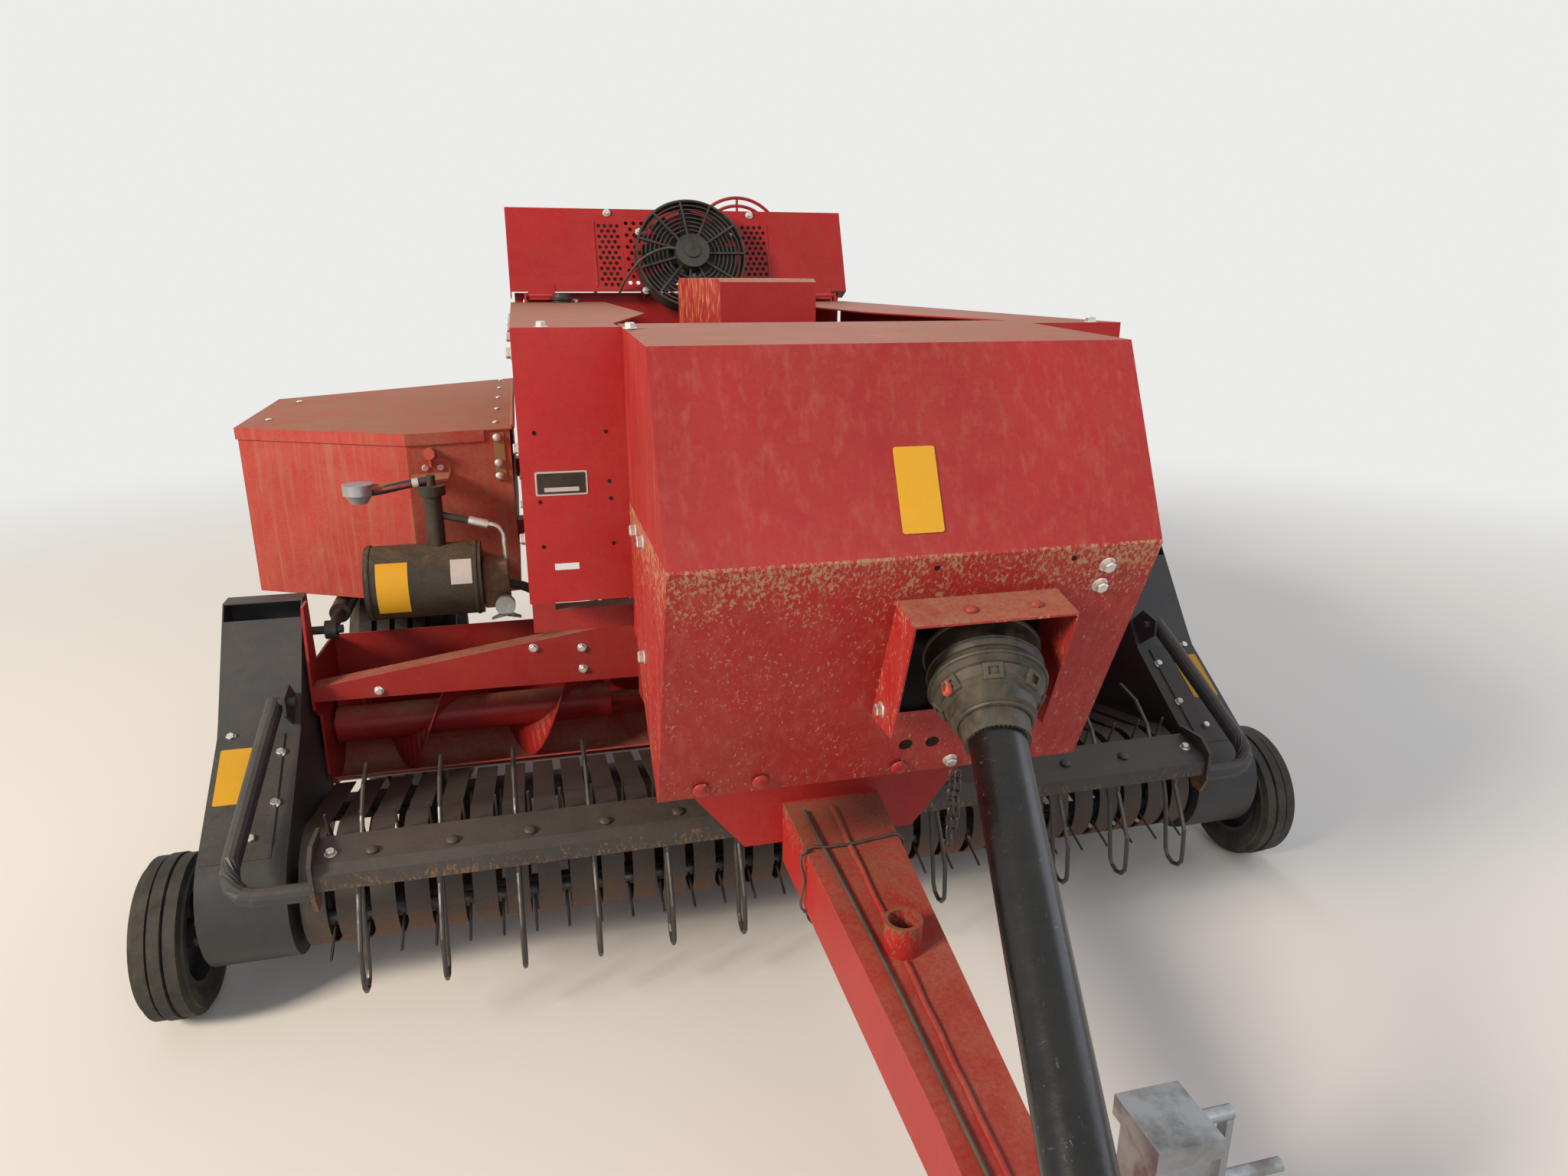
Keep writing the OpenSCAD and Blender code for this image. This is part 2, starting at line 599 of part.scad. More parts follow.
module twine_lid() color(RED) translate([0, 0, box_top_z + seat]) {
    linear_extrude(sheet) intersection() {
        polygon(inset(box_plan, -lip_gap - sheet));
        translate([box_in - hinge_off, -500]) square([1000, 2500]);
    }
    // hinge tube along the inner edge
    along(60, 1270) translate([box_in - hinge_off, sheet / 2]) circle(d = hinge_d, $fn = 24);
    translate([0, 0, -25]) linear_extrude(25) difference() {
        intersection() {
            polygon(inset(box_plan, -lip_gap - sheet));
            translate([box_in + 60, -500]) square([1000, 2500]);
        }
        polygon(inset(box_plan, -lip_gap));
    }
}
module twine_box_left() twine_box();
module twine_box_right() {
    mirror([1, 0, 0]) twine_box();
    // anchor of the lift cylinder under the floor
    color(RED) {
        for (x = [-21, 15]) across(lift_x + x, lift_x + x + 6)
            polygon([[lift_p.x - 18, lift_p.y - 20], [lift_p.x + 18, lift_p.y - 20], [lift_p.x + 30,
                box_z], [lift_p.x - 30, box_z]]);
        shaft(lift_x - 21, lift_x + 21, lift_p.x, lift_p.y, 20);
    }
}
module twine_lid_left() twine_lid();
module twine_lid_right() mirror([1, 0, 0]) twine_lid();

// Oil canister with its bracket, filler and end block
can_y = -140;
can_z = 830;
can_d = 170;
module canister() color(BLACK) {
    shaft(-893, -640, can_y, can_z, can_d);
    shaft(-640, -600, can_y, can_z - 20, 70);
    translate([-735, can_y, can_z]) cylinder(h = 200, d = 40);
    translate([-735, can_y, can_z + 200]) cylinder(h = 22, d = 60);
    for (x = [840, 700]) translate([0, 0, can_z - 40]) linear_extrude(80)
        polygon([[-x, can_y], [30 - x, can_y], [30 - x, box_face(x - 30)], [-x, box_face(x)]]);
}

// Pressure gauge, dial up, on a flat arm from the twine box, with its hose from the filler pipe
gauge_p = [-889, -150, 1040];
module gauge() color(STEEL) {
    translate(gauge_p) cylinder(h = 24, d = 66);
    translate(gauge_p - [0, 0, 20]) cylinder(h = 21, d1 = 34, d2 = 62);
    bar([-735, can_y, 1052 + seat], [-735, can_y, 1075], 20);
    bar([-735, can_y, 1066], gauge_p + [20, 0, 4], 15);
    translate([0, 0, gauge_p.z + 12]) linear_extrude(5) polygon([
        [gauge_p.x, gauge_p.y + 20], [gauge_p.x + 26, gauge_p.y + 30],
        [-785, -100], [-785, box_face(785) - seat], [-700, box_face(700) - seat],
        [-700, -90], [-790, -130], [gauge_p.x + 40, gauge_p.y - 10],
        [gauge_p.x + 15, gauge_p.y - 20]]);
}

// Hoses held along the machine
module hoses() color(RUBBER) {
    swept([[-600 + seat, can_y, 810], [-580, can_y, 810], [-550, can_y, 798], [-520, can_y + 10, 780],
        [-470, can_y + 30, 765],
           [-420, can_y + 40, 770], [-370, can_y + 60, 800], [-335, can_y + 60, 836],
           [-320, can_y + 60, 840], [-rail_out - seat, can_y + 60, 840]], 22, [0, 0, 1]);
}

// Main wheels
module tyre(d, w, rim, ribs) {
    groove = w * 0.05;
    land = (w * 0.78 - groove * (ribs - 1)) / ribs;
    rotate([0, 90, 0]) rotate_extrude($fn = 96) polygon(concat(
        [[rim / 2, -w * 0.36], [rim / 2 + 14, -w * 0.42], [rim / 2 + (d - rim) * 0.2, -w / 2],
         [rim / 2 + (d - rim) * 0.36, -w / 2], [d / 2 - 16, -w * 0.44]],
        [for (i = [0 : ribs - 1]) let (a = -w * 0.39 + i * (land + groove),
            c = 1 - abs(i - (ribs - 1) / 2) / ribs)
            each concat([[d / 2 - 8 * (1 - c) , a], [d / 2 - 8 * (1 - c), a + land]],
                i < ribs - 1 ? [[d / 2 - 20, a + land + 3], [d / 2 - 20, a + land + groove - 3]] : [])],
        [[d / 2 - 16, w * 0.44], [rim / 2 + (d - rim) * 0.36, w / 2], [rim / 2 + (d - rim) * 0.2, w / 2],
         [rim / 2 + 14, w * 0.42], [rim / 2, w * 0.36]]));
}
module main_tyre() color(RUBBER) translate([wheel_x, axle_y, axle_z]) tyre(tyre_d, tyre_w, rim_d, 5);
module main_rim() color(STEEL) translate([wheel_x, axle_y, axle_z]) rotate([0, 90, 0]) difference() {
    rotate_extrude($fn = 96) polygon([
        [0, -10], [120, -10], [150, 10], [rim_d / 2 - 14, 10], [rim_d / 2 - 14, -tyre_w * 0.36],
            [rim_d / 2, -tyre_w * 0.36],
        [rim_d / 2, tyre_w * 0.36], [rim_d / 2 - 14, tyre_w * 0.36], [rim_d / 2 - 14, 20], [145, 20],
            [115, 0],
        [50, 0], [50, 40], [0, 40]]);
    for (i = [0 : 5]) rotate(i * 60) translate([160, 0, 0]) cylinder(h = 60, d = 26, center = true);
}
module main_tyre_left() main_tyre();
module main_tyre_right() mirror([1, 0, 0]) main_tyre();
module main_rim_left() main_rim();
module main_rim_right() mirror([1, 0, 0]) main_rim();

// Feed housing: auger pan, end walls, tapered cross plates and the chute up to the chamber
pan_r = flight_r + 11;
pan_t = 4;
pan_a = -135;
pan_in = 1034;
axis = [auger_y, auger_z];
pan_line = concat(arc(axis, pan_r, pan_a, 0, 16), [[auger_y + pan_r, 620]]);
chute_line = concat(arc(axis, pan_r, pan_a, pan_a / 8, 14), [[feed_back_y - 60, 520], [feed_back_y,
    ch_low]]);
function cross_top(x) = 600 + (pan_in - x) * 0.141;
module feed_housing() color(RED) {
    both() {
        across(ch_in + wall / 2, pan_in) polygon(band(pan_line, -pan_t));
        across(pan_in, pan_in + plate) difference() {
            union() {
                polygon([[cross_y, 545], [-100, 480], [auger_y + pan_r + pan_t, auger_z],
                    [auger_y + pan_r + pan_t, 620],
                         [-95, 640], [-110, 790], [cross_y + 20, 790], [cross_y, 620]]);
                translate(axis) circle(pan_r + pan_t + 5);
            }
            translate(axis) circle(d = core_d + 0.1);
            translate([auger_y - 400, auger_z - 200]) square([275, 290]);
        }
        // boss that the pickup pivots on
        across(pan_in + plate, cover_in + sheet) difference() {
            translate(axis) circle(d = boss_d);
            translate(axis) circle(d = core_d + 0.1);
        }
        // tapered plate with its top flange
        along(cross_y, cross_y + plate) polygon([[rail_x, 556], [rail_x, cross_top(rail_x)], [pan_in,
            cross_top(pan_in)], [pan_in, 566]]);
        along(cross_y, cross_y + 50) polygon([
            [rail_out, cross_top(rail_out)], [rail_out, cross_top(rail_out) - plate],
            [pan_in, cross_top(pan_in) - plate], [pan_in, cross_top(pan_in)]]);
        // chute side
        across(ch_in, ch_out) polygon(concat(
            [[feed_front_y, ch_low], [feed_front_y, 540]],
            [for (i = [11 : 16]) offset_point(chute_line, i, -8)],
            [[feed_back_y + 8, ch_low]]));
    }
    across(-ch_in - wall / 2, ch_in + wall / 2) polygon(band(chute_line, -pan_t));
}

// Auger: tube ends with flighting, plain shaft in the middle
core_d = 40;
boss_d = 110;
flight_in = 350;
flight_out = 1026;
module auger_core() color(RED) {
    shaft(-pan_in - 14, pan_in + 14, auger_y, auger_z, core_d);
    both() shaft(flight_in, flight_out, auger_y, auger_z, auger_tube_d);
}
module flighting(hand) {
    steps = 48;
    r0 = auger_tube_d / 2 + 0.6;
    t = 4;
    turns = (flight_out - flight_in - 10) / flight_lead;
    rings = [for (i = [0 : steps]) let (a = hand * 360 * turns * i / steps,
        x = flight_in + 3 + (flight_out - flight_in - 10) * i / steps)
        for (q = [[r0, 0], [flight_r, 0], [flight_r, t], [r0, t]]) [x + q.y, auger_y + q.x * cos(a),
            auger_z + q.x * sin(a)]];
    walls = [for (i = [0 : steps - 1], j = [0 : 3]) let (a = 4 * i + j, b = 4 * i + (j + 1) % 4)
        each hand > 0 ? [[a, b, b + 4], [a, b + 4, a + 4]] : [[a, b + 4, b], [a, a + 4, b + 4]]];
    caps = hand > 0 ? [[3, 2, 1, 0], [for (j = [0 : 3]) 4 * steps + j]] : [[0, 1, 2, 3],
        [for (j = [3 : -1 : 0]) 4 * steps + j]];
    polyhedron(rings, concat(walls, caps), convexity = 8);
}
module auger_flights() color(RED) {
    flighting(1);
    mirror([1, 0, 0]) flighting(1);
}

// Pickup end covers, with the rear beam between them
beam_p = [-60, 230];
beam_s = 50;
guard_p = [-300, 620];
lug_p = [-60, 700];
reel_c = [reel_y, reel_z];
cover_back = [[-90, 790], [-260, 572], [-285, 543], [-543, 378]];
module cover_outline(g) union() {
    translate(reel_c) circle(cover_r - g, $fn = 96);
    polygon([cover_back[0] + [-g, -g], cover_back[1] + [g / 2, -g], cover_back[2] + [g / 2, -g],
             cover_back[3] + [g, -g / 3], [reel_y - cover_r + g + 10, reel_z], [reel_y,
                 reel_z - cover_r + g],
             beam_p + [0, g - beam_s / 2],
             [-20 - g, 330], [-30 - g, 600], [-40 - g, 790 - g]]);
}
module pickup_covers() color(GREY) {
    both() {
        difference() {
            across(cover_in, cover_out) cover_outline(0);
            across(cover_in + sheet, cover_out - sheet) cover_outline(sheet);
            shaft(cover_in - 1, cover_in + 30, auger_y, auger_z, boss_d + 0.1);
            shaft(cover_in - 1, cover_in + 30, reel_y, reel_z, 50.1);
        }
        // pivot plate round the auger's bearing
        difference() {
            across(cover_in, cover_in + sheet) union() {
                translate(axis) circle(78);
                polygon([[-70, 350], [auger_y, 348], [auger_y, 500], [-70, 520]]);
            }
            shaft(cover_in - 1, cover_in + 30, auger_y, auger_z, boss_d + 0.1);
        }
        // guard's pivot lug
        difference() {
            across(1060, 1066) polygon([[-262, 548], [-330, 600], [-330, 640], [-270, 650], [-216, 600]]);
            shaft(1059, 1067, guard_p.x, guard_p.y, 20.2);
        }
        // gauge wheel arm and spindle
        across(cover_out, cover_out + 12) link(reel_c + [15, 60], [gauge_y, gauge_z], 32);
        shaft(cover_out + 12, gauge_x + 20, gauge_y, gauge_z, 25);
    }
    // lift lug on the right-hand cover
    shaft(-cover_in, -pan_in + 60, lug_p.x, lug_p.y, 20);
    across(-cover_in, cover_in) translate(beam_p - [beam_s / 2, beam_s / 2]) square(beam_s);
}
gauge_y = -440;
gauge_z = gauge_d / 2 + 2;

// Strippers: bands between the tines, from the rear beam round the front to the auger
band_w = 48;
band_t = 3;
strip_end = [-112, 322];
module stripper() across(-band_w / 2, band_w / 2) difference() {
    union() {
        translate(reel_c) circle(stripper_r, $fn = 96);
        polygon([reel_c + [0, stripper_r], strip_end, strip_end - [0, 6], reel_c]);
        polygon([reel_c + stripper_r * [0, -1], beam_p - [beam_s / 2, beam_s / 2], beam_p + [-beam_s / 2,
            -beam_s / 2 + 20], reel_c]);
    }
    union() {
        translate(reel_c) circle(stripper_r - band_t, $fn = 96);
        polygon([reel_c + [0, stripper_r - band_t], strip_end + [1, -band_t], [-90, 300], reel_c]);
        polygon([reel_c + (stripper_r - band_t) * [0, -1], beam_p + [-beam_s / 2 - 8,
            -beam_s / 2 + band_t + 2], [-90, 300], reel_c]);
    }
}
module strippers() color(GREY) for (i = [0 : tine_count])
    translate([(i - tine_count / 2) * tine_pitch, 0, 0]) stripper();

// Pickup reel: centre tube, spiders and bars with spring tines
bar_r = 98;
module pickup_reel() color(STEEL) translate([0, reel_y, reel_z]) {
    reach = tine_count / 2 * tine_pitch;
    shaft(-cover_in - 20, cover_in + 20, 0, 0, 50);
    for (k = [0 : bar_count - 1]) rotate([360 * k / bar_count + 20, 0, 0]) {
        shaft(-reach, reach, 0, bar_r, 32);
        for (i = [0 : tine_count - 1]) translate([(i - (tine_count - 1) / 2) * tine_pitch, 0, 0])
            translate([0, 0, bar_r]) cylinder(h = tine_r - bar_r, d = 6, $fn = 6);
    }
    for (x = [-reach - 1, -reach / 3, reach / 3, reach - 7]) across(x, x + 8) difference() {
        circle(bar_r + 20);
        for (a = [0 : 90 : 270]) rotate(a + 65) translate([60, 0]) circle(24);
    }
}

// Gauge wheels
module gauge_tyre() color(RUBBER) translate([gauge_x, gauge_y, gauge_z]) tyre(gauge_d, gauge_w, 220, 3);
module gauge_rim() color(GREY) translate([gauge_x, gauge_y, gauge_z]) rotate([0, 90,
    0]) rotate_extrude($fn = 96)
    polygon([[12.6, -30], [30, -30], [30, -4], [100, -4], [100, -gauge_w * 0.36], [110, -gauge_w * 0.36],
             [110, gauge_w * 0.36], [100, gauge_w * 0.36], [100, 4], [30, 4], [30, 20], [12.6, 20]]);
module gauge_tyre_left() gauge_tyre();
module gauge_tyre_right() mirror([1, 0, 0]) gauge_tyre();
module gauge_rim_left() gauge_rim();
module gauge_rim_right() mirror([1, 0, 0]) gauge_rim();

// Wind guard: bent bar on two pipe arms, with rods that curve down and back over the tines
guard_half = 966;
guard_rods = 13;
pipe_d = 38;
guard_line = [[-606, 452], [-690, 440], [-708, 425], [-708, 392]];
rod_line = concat([[-704, 392 - seat], [-704, 375], [-733, 330], [-758, 285]], arc([-732, 216], 32, 165,
    340, 5),
    [[-680, 320], [-652, 400], [-600, 432], [-575, 470], [-520, 510], [-450, 525]]);
module wind_guard() color(GREY) {
    across(-guard_half, guard_half) polygon(band(guard_line, 6));
    both() across(guard_half, guard_half + 8)
        polygon([[-600, 470], [-625, 420], [-655, 370], [-672, 345], [-700, 345], [-716, 380],
                 [-716, 450], [-680, 475]]);
}
arm_line = [[guard_half + 8, -672, 374], [guard_half + 30, -672, 374], [1080, -668, 374], [1104, -662, 378],
            [1122, -650, 390], [1130, -630, 407], [1130, -606, 422], [1096, -350, 584], [1092, -320,
                602], [1090, -290, 618]];
module guard_arms() color(GREY) both() {
    swept(arm_line, pipe_d, [0, 0.6, 0.8], 14);
    shaft(1045, 1080, guard_p.x, guard_p.y, 20);
}
module guard_rods() color(STEEL) {
    span = 2 * (guard_half - 74);
    for (i = [0 : guard_rods - 1]) swept([for (q = rod_line) [-span / 2 + span * i / (guard_rods - 1),
        q.x, q.y]], 10);
}

// Pickup lift cylinder, under the right-hand twine box
lift_x = -1000;
lift_p = [290, 700];
module lift_barrel() color(BLACK) translate([lift_x, lift_p.x, lift_p.y]) rotate([90, 0, 0]) {
    difference() {
        union() {
            translate([0, 0, 30]) cylinder(h = 195, d = 50);
            rotate([0, 90, 0]) cylinder(h = 28, d = 44, center = true);
            translate([-12, -12, 0]) cube([24, 24, 40]);
        }
        rotate([0, 90, 0]) cylinder(h = 40, d = 20.2, center = true);
        translate([0, 0, 45]) cylinder(h = 200, d = 25.2);
    }
}
module lift_rod() color(STEEL) translate([lift_x, lift_p.x, lift_p.y]) rotate([90, 0, 0]) {
    translate([0, 0, 130]) cylinder(h = 200, d = 25);
    difference() {
        translate([0, 0, 350]) rotate([0, 90, 0]) cylinder(h = 26, d = 44, center = true);
        translate([0, 0, 350]) rotate([0, 90, 0]) cylinder(h = 30, d = 30, center = true);
    }
}

// Density gear on the chamber's rear: side beams, top beam, two sprung screws with cranks, and a ring
tension_y = 1690;
module tension_gear() color(RED) {
    top = ch_high + hoop_h + seat;
    both() {
        block([ch_out + hoop_h + seat, 1540, 880], [ch_out + hoop_h + 40, chamber_end_y - 10, 1000]);
        block([60, tension_y - 30, top + 40], [300, tension_y + 30, top + 80]);
        translate([200, tension_y, top + 80]) {
            cylinder(h = 110, d = 56);
            cylinder(h = 170, d = 20);
        }
        bar([200, tension_y, top + 244], [200, tension_y + 110, top + 244], 14);
        bar([200, tension_y + 104, top + 240], [200, tension_y + 104, top + 300], 14);
    }
    block([-60, 1540, top], [60, 1830, top + 80]);
    // double ring on its bracket, whose top shows over the knotter cover
    along(1450, 1458) polygon([[185, ch_high + seat], [230, ch_high + seat], [330, 1600], [330, 1634],
        [290, 1634]]);
    translate([310, 1420, 1614]) rotate([-90, 0, 0]) {
        cylinder(h = 50, d = 36, center = true);
        translate([0, 0, 20]) cylinder(h = 15, d = 36);
        for (r = [145, 173]) rotate_extrude($fn = 96) translate([r, 0]) circle(d = 12, $fn = 24);
        for (a = [30, 150, 270]) rotate(a) translate([0, -4, -4]) cube([170, 8, 8]);
    }
}

// Metering wheel that reaches through the roof
module metering_wheel() color(RED) translate([0, meter_p.x, meter_p.y]) rotate([0, 90, 0]) difference() {
    cylinder(h = 6, d = 230, center = true);
    cylinder(h = 10, d = 20.2, center = true);
    for (a = [0 : 60 : 300]) rotate(a) translate([66, 0, 0]) cylinder(h = 10, d = 44, center = true);
}

// Bale chute hinged on the chamber's end
chute_p = [chamber_end_y + 22, ch_low - 18];
chute_end_y = 2640;
chute_t = 4;
chute_half = ch_in - 8;
module bale_chute() color(RED) difference() {
    union() {
        block([-chute_lug + 6, chute_p.x - 10, chute_p.y + 6], [chute_lug - 6, chute_p.x + 40,
            chute_p.y + 6 + chute_t]);
        block([-chute_half, chute_p.x + 30, chute_p.y + 6], [chute_half, chute_end_y,
            chute_p.y + 6 + chute_t]);
        both() across(chute_half - chute_t, chute_half) polygon([
            [chute_p.x + 55, chute_p.y + 6], [chute_end_y, chute_p.y + 6], [chute_end_y, chute_p.y + 60],
            [chute_p.x + 130, chute_p.y + 95], [chute_p.x + 55, chute_p.y + 30]]);
        shaft(-chute_lug + 6, chute_lug - 6, chute_p.x, chute_p.y, 20);
    }
    shaft(-chute_lug, chute_lug, chute_p.x, chute_p.y, 12.1);
}

main_frame();
shield_frame();
axle_cheeks();
box_arms();
axle();
drawbar();
jack_tube();
jack_leg();
bale_chamber();
front_hood();
side_shield_left();
side_shield_right();
flywheel();
drive_gearbox();
crank_and_rods();
plunger();
gear_cover();
pto_guard();
needle_yoke();
knotter_stack();
knotter_cover();
knotter_screen();
fan();
twine_box_left();
twine_box_right();
twine_lid_left();
twine_lid_right();
canister();
gauge();
hoses();
main_tyre_left();
main_tyre_right();
main_rim_left();
main_rim_right();
feed_housing();
auger_core();
auger_flights();
pickup_covers();
strippers();
pickup_reel();
gauge_tyre_left();
gauge_tyre_right();
gauge_rim_left();
gauge_rim_right();
wind_guard();
guard_arms();
guard_rods();
lift_barrel();
lift_rod();
tension_gear();
metering_wheel();
bale_chute();
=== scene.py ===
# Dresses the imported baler: faded paint, dust and mud, bolts, blank plates, hoses, cables and chain.
import bpy
import math
from mathutils import Matrix, Vector


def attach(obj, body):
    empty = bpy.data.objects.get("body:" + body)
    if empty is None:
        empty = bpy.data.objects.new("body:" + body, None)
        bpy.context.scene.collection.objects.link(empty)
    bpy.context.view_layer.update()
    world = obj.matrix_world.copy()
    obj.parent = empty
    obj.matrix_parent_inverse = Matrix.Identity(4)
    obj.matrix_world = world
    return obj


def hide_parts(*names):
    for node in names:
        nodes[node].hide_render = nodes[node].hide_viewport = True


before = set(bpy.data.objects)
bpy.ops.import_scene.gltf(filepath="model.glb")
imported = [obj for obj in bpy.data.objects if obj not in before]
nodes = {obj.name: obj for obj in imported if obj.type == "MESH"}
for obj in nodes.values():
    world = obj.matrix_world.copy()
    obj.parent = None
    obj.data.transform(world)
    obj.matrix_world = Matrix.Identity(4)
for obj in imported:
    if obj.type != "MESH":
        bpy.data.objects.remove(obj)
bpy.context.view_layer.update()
scene = bpy.context.scene
print("frame loaded:", len(nodes), "nodes")

# the camera stands where the photograph was taken: place in metres, turn in degrees, lens and sensor in mm
camera = {"place": (-0.523, -2.528, 1.507), "turn": (72.85, -0.147, -14.433), "lens": 23.17, "sensor": 36,
          "near": 0.02}

# pale paper floor and backdrop in metres; each light has its place, aim, size, power in watts and tint
studio = {
    "floor": 60.0, "floorColour": "#E6E3DD", "fadeFrom": 3.0, "fadeTo": 7.5,
    "sky": "#F1F1EF", "skyGlow": 0.95, "ambientColour": "#F2F4F8", "ambient": 0.36,
    "lights": {
        "keySoftbox": ((-9.6, -5.2, 6.2), (0, -0.4, 0.9), 2.6, 1650, "#FFF1DD"),
        "frontSoftbox": ((1.0, -6.5, 3.6), (0, -0.6, 0.8), 3.2, 85, "#F2F5FF"),
        "fillSoftbox": ((5.4, -1.5, 3.0), (0, 0, 0.7), 3.5, 60, "#EAF0FF"),
        "rearSoftbox": ((1.5, 6.0, 4.2), (0, 0.5, 0.8), 4.0, 110, "#FFFFFF"),
    },
}


def hexColour(code):
    # sRGB hex to the linear values that Blender works with
    parts = [int(code[i:i + 2], 16) / 255 for i in (1, 3, 5)]
    return [c / 12.92 if c <= 0.04045 else ((c + 0.055) / 1.055) ** 2.4 for c in parts] + [1.0]


def addNode(tree, kind, settings=None, links=None):
    # settings are properties by name or input values by socket; links go into the named inputs
    made = tree.nodes.new(kind)
    for key, value in (settings or {}).items():
        if isinstance(key, str) and hasattr(made, key):
            setattr(made, key, value)
        else:
            made.inputs[key].default_value = value
    for key, socket in (links or {}).items():
        tree.links.new(socket, made.inputs[key])
    return made


def newMaterial(name):
    made = bpy.data.materials.new(name)
    made.use_nodes = True
    made.node_tree.nodes.clear()
    return made, made.node_tree


def deselect():
    for item in bpy.context.selected_objects:
        item.select_set(False)


def placeCamera():
    data = bpy.data.cameras.new("photoCamera")
    data.lens = camera["lens"]
    data.sensor_width = camera["sensor"]
    data.clip_start = camera["near"]
    item = bpy.data.objects.new("photoCamera", data)
    item.location = camera["place"]
    item.rotation_euler = [math.radians(a) for a in camera["turn"]]
    scene.collection.objects.link(item)
    scene.camera = item


def placeLight(name, place, aim, size, power, tint):
    data = bpy.data.lights.new(name, "AREA")
    data.size = size
    data.energy = power
    data.color = hexColour(tint)[:3]
    item = bpy.data.objects.new(name, data)
    item.location = place
    item.rotation_euler = (Vector(aim) - Vector(place)).to_track_quat("-Z", "Y").to_euler()
    scene.collection.objects.link(item)


def placeStudio():
    deselect()
    bpy.ops.mesh.primitive_plane_add(size=studio["floor"])
    floor = bpy.context.object
    floor.name = "studioFloor"
    # matt paper that turns into the backdrop's own tone away from the machine, so no horizon shows
    made, tree = newMaterial("paleFloorPaper")
    place = addNode(tree, "ShaderNodeTexCoord").outputs["Object"]
    far = addNode(tree, "ShaderNodeVectorMath", {"operation": "LENGTH"}, {0: place}).outputs["Value"]
    seen = addNode(tree, "ShaderNodeLightPath").outputs["Is Camera Ray"]
    fade = addNode(tree, "ShaderNodeMapRange",
                   {"interpolation_type": "SMOOTHSTEP", 1: studio["fadeFrom"], 2: studio["fadeTo"]}, {0: far})
    share = addNode(tree, "ShaderNodeMath", {"operation": "MULTIPLY"},
                    {0: fade.outputs[0], 1: seen}).outputs[0]
    paper = addNode(tree, "ShaderNodeBsdfDiffuse", {"Color": hexColour(studio["floorColour"])})
    glow = addNode(tree, "ShaderNodeEmission",
                   {"Color": hexColour(studio["sky"]), "Strength": studio["skyGlow"]})
    mixed = addNode(tree, "ShaderNodeMixShader", links={0: share, 1: paper.outputs[0], 2: glow.outputs[0]})
    addNode(tree, "ShaderNodeOutputMaterial", links={"Surface": mixed.outputs[0]})
    floor.data.materials.append(made)
    world = bpy.data.worlds.new("studioSky")
    scene.world = world
    world.use_nodes = True
    tree = world.node_tree
    tree.nodes.clear()
    path = addNode(tree, "ShaderNodeLightPath")
    ambient = addNode(tree, "ShaderNodeBackground",
                      {"Color": hexColour(studio["ambientColour"]), "Strength": studio["ambient"]})
    seen = addNode(tree, "ShaderNodeBackground",
                   {"Color": hexColour(studio["sky"]), "Strength": studio["skyGlow"]})
    either = addNode(tree, "ShaderNodeMath", {"operation": "MAXIMUM"},
                     {0: path.outputs["Is Camera Ray"], 1: path.outputs["Is Glossy Ray"]})
    mixed = addNode(tree, "ShaderNodeMixShader",
                    links={0: either.outputs[0], 1: ambient.outputs[0], 2: seen.outputs[0]})
    addNode(tree, "ShaderNodeOutputWorld", links={"Surface": mixed.outputs[0]})
    for name, light in studio["lights"].items():
        placeLight(name, *light)
    scene.view_settings.view_transform = "Standard"


placeCamera()
placeStudio()
print("camera and studio placed")


# spacing of the patterns' marks in mm, as are a look's own fadeSize, stainSize and pebble
pattern = {"dustCloud": 111.11, "dustGrain": 6.25, "run": 16.13, "fleck": 5.263, "mudCloud": 62.5,
           "metalGrain": 2.381, "dirtCloud": 71.43, "scratch": 21.74}


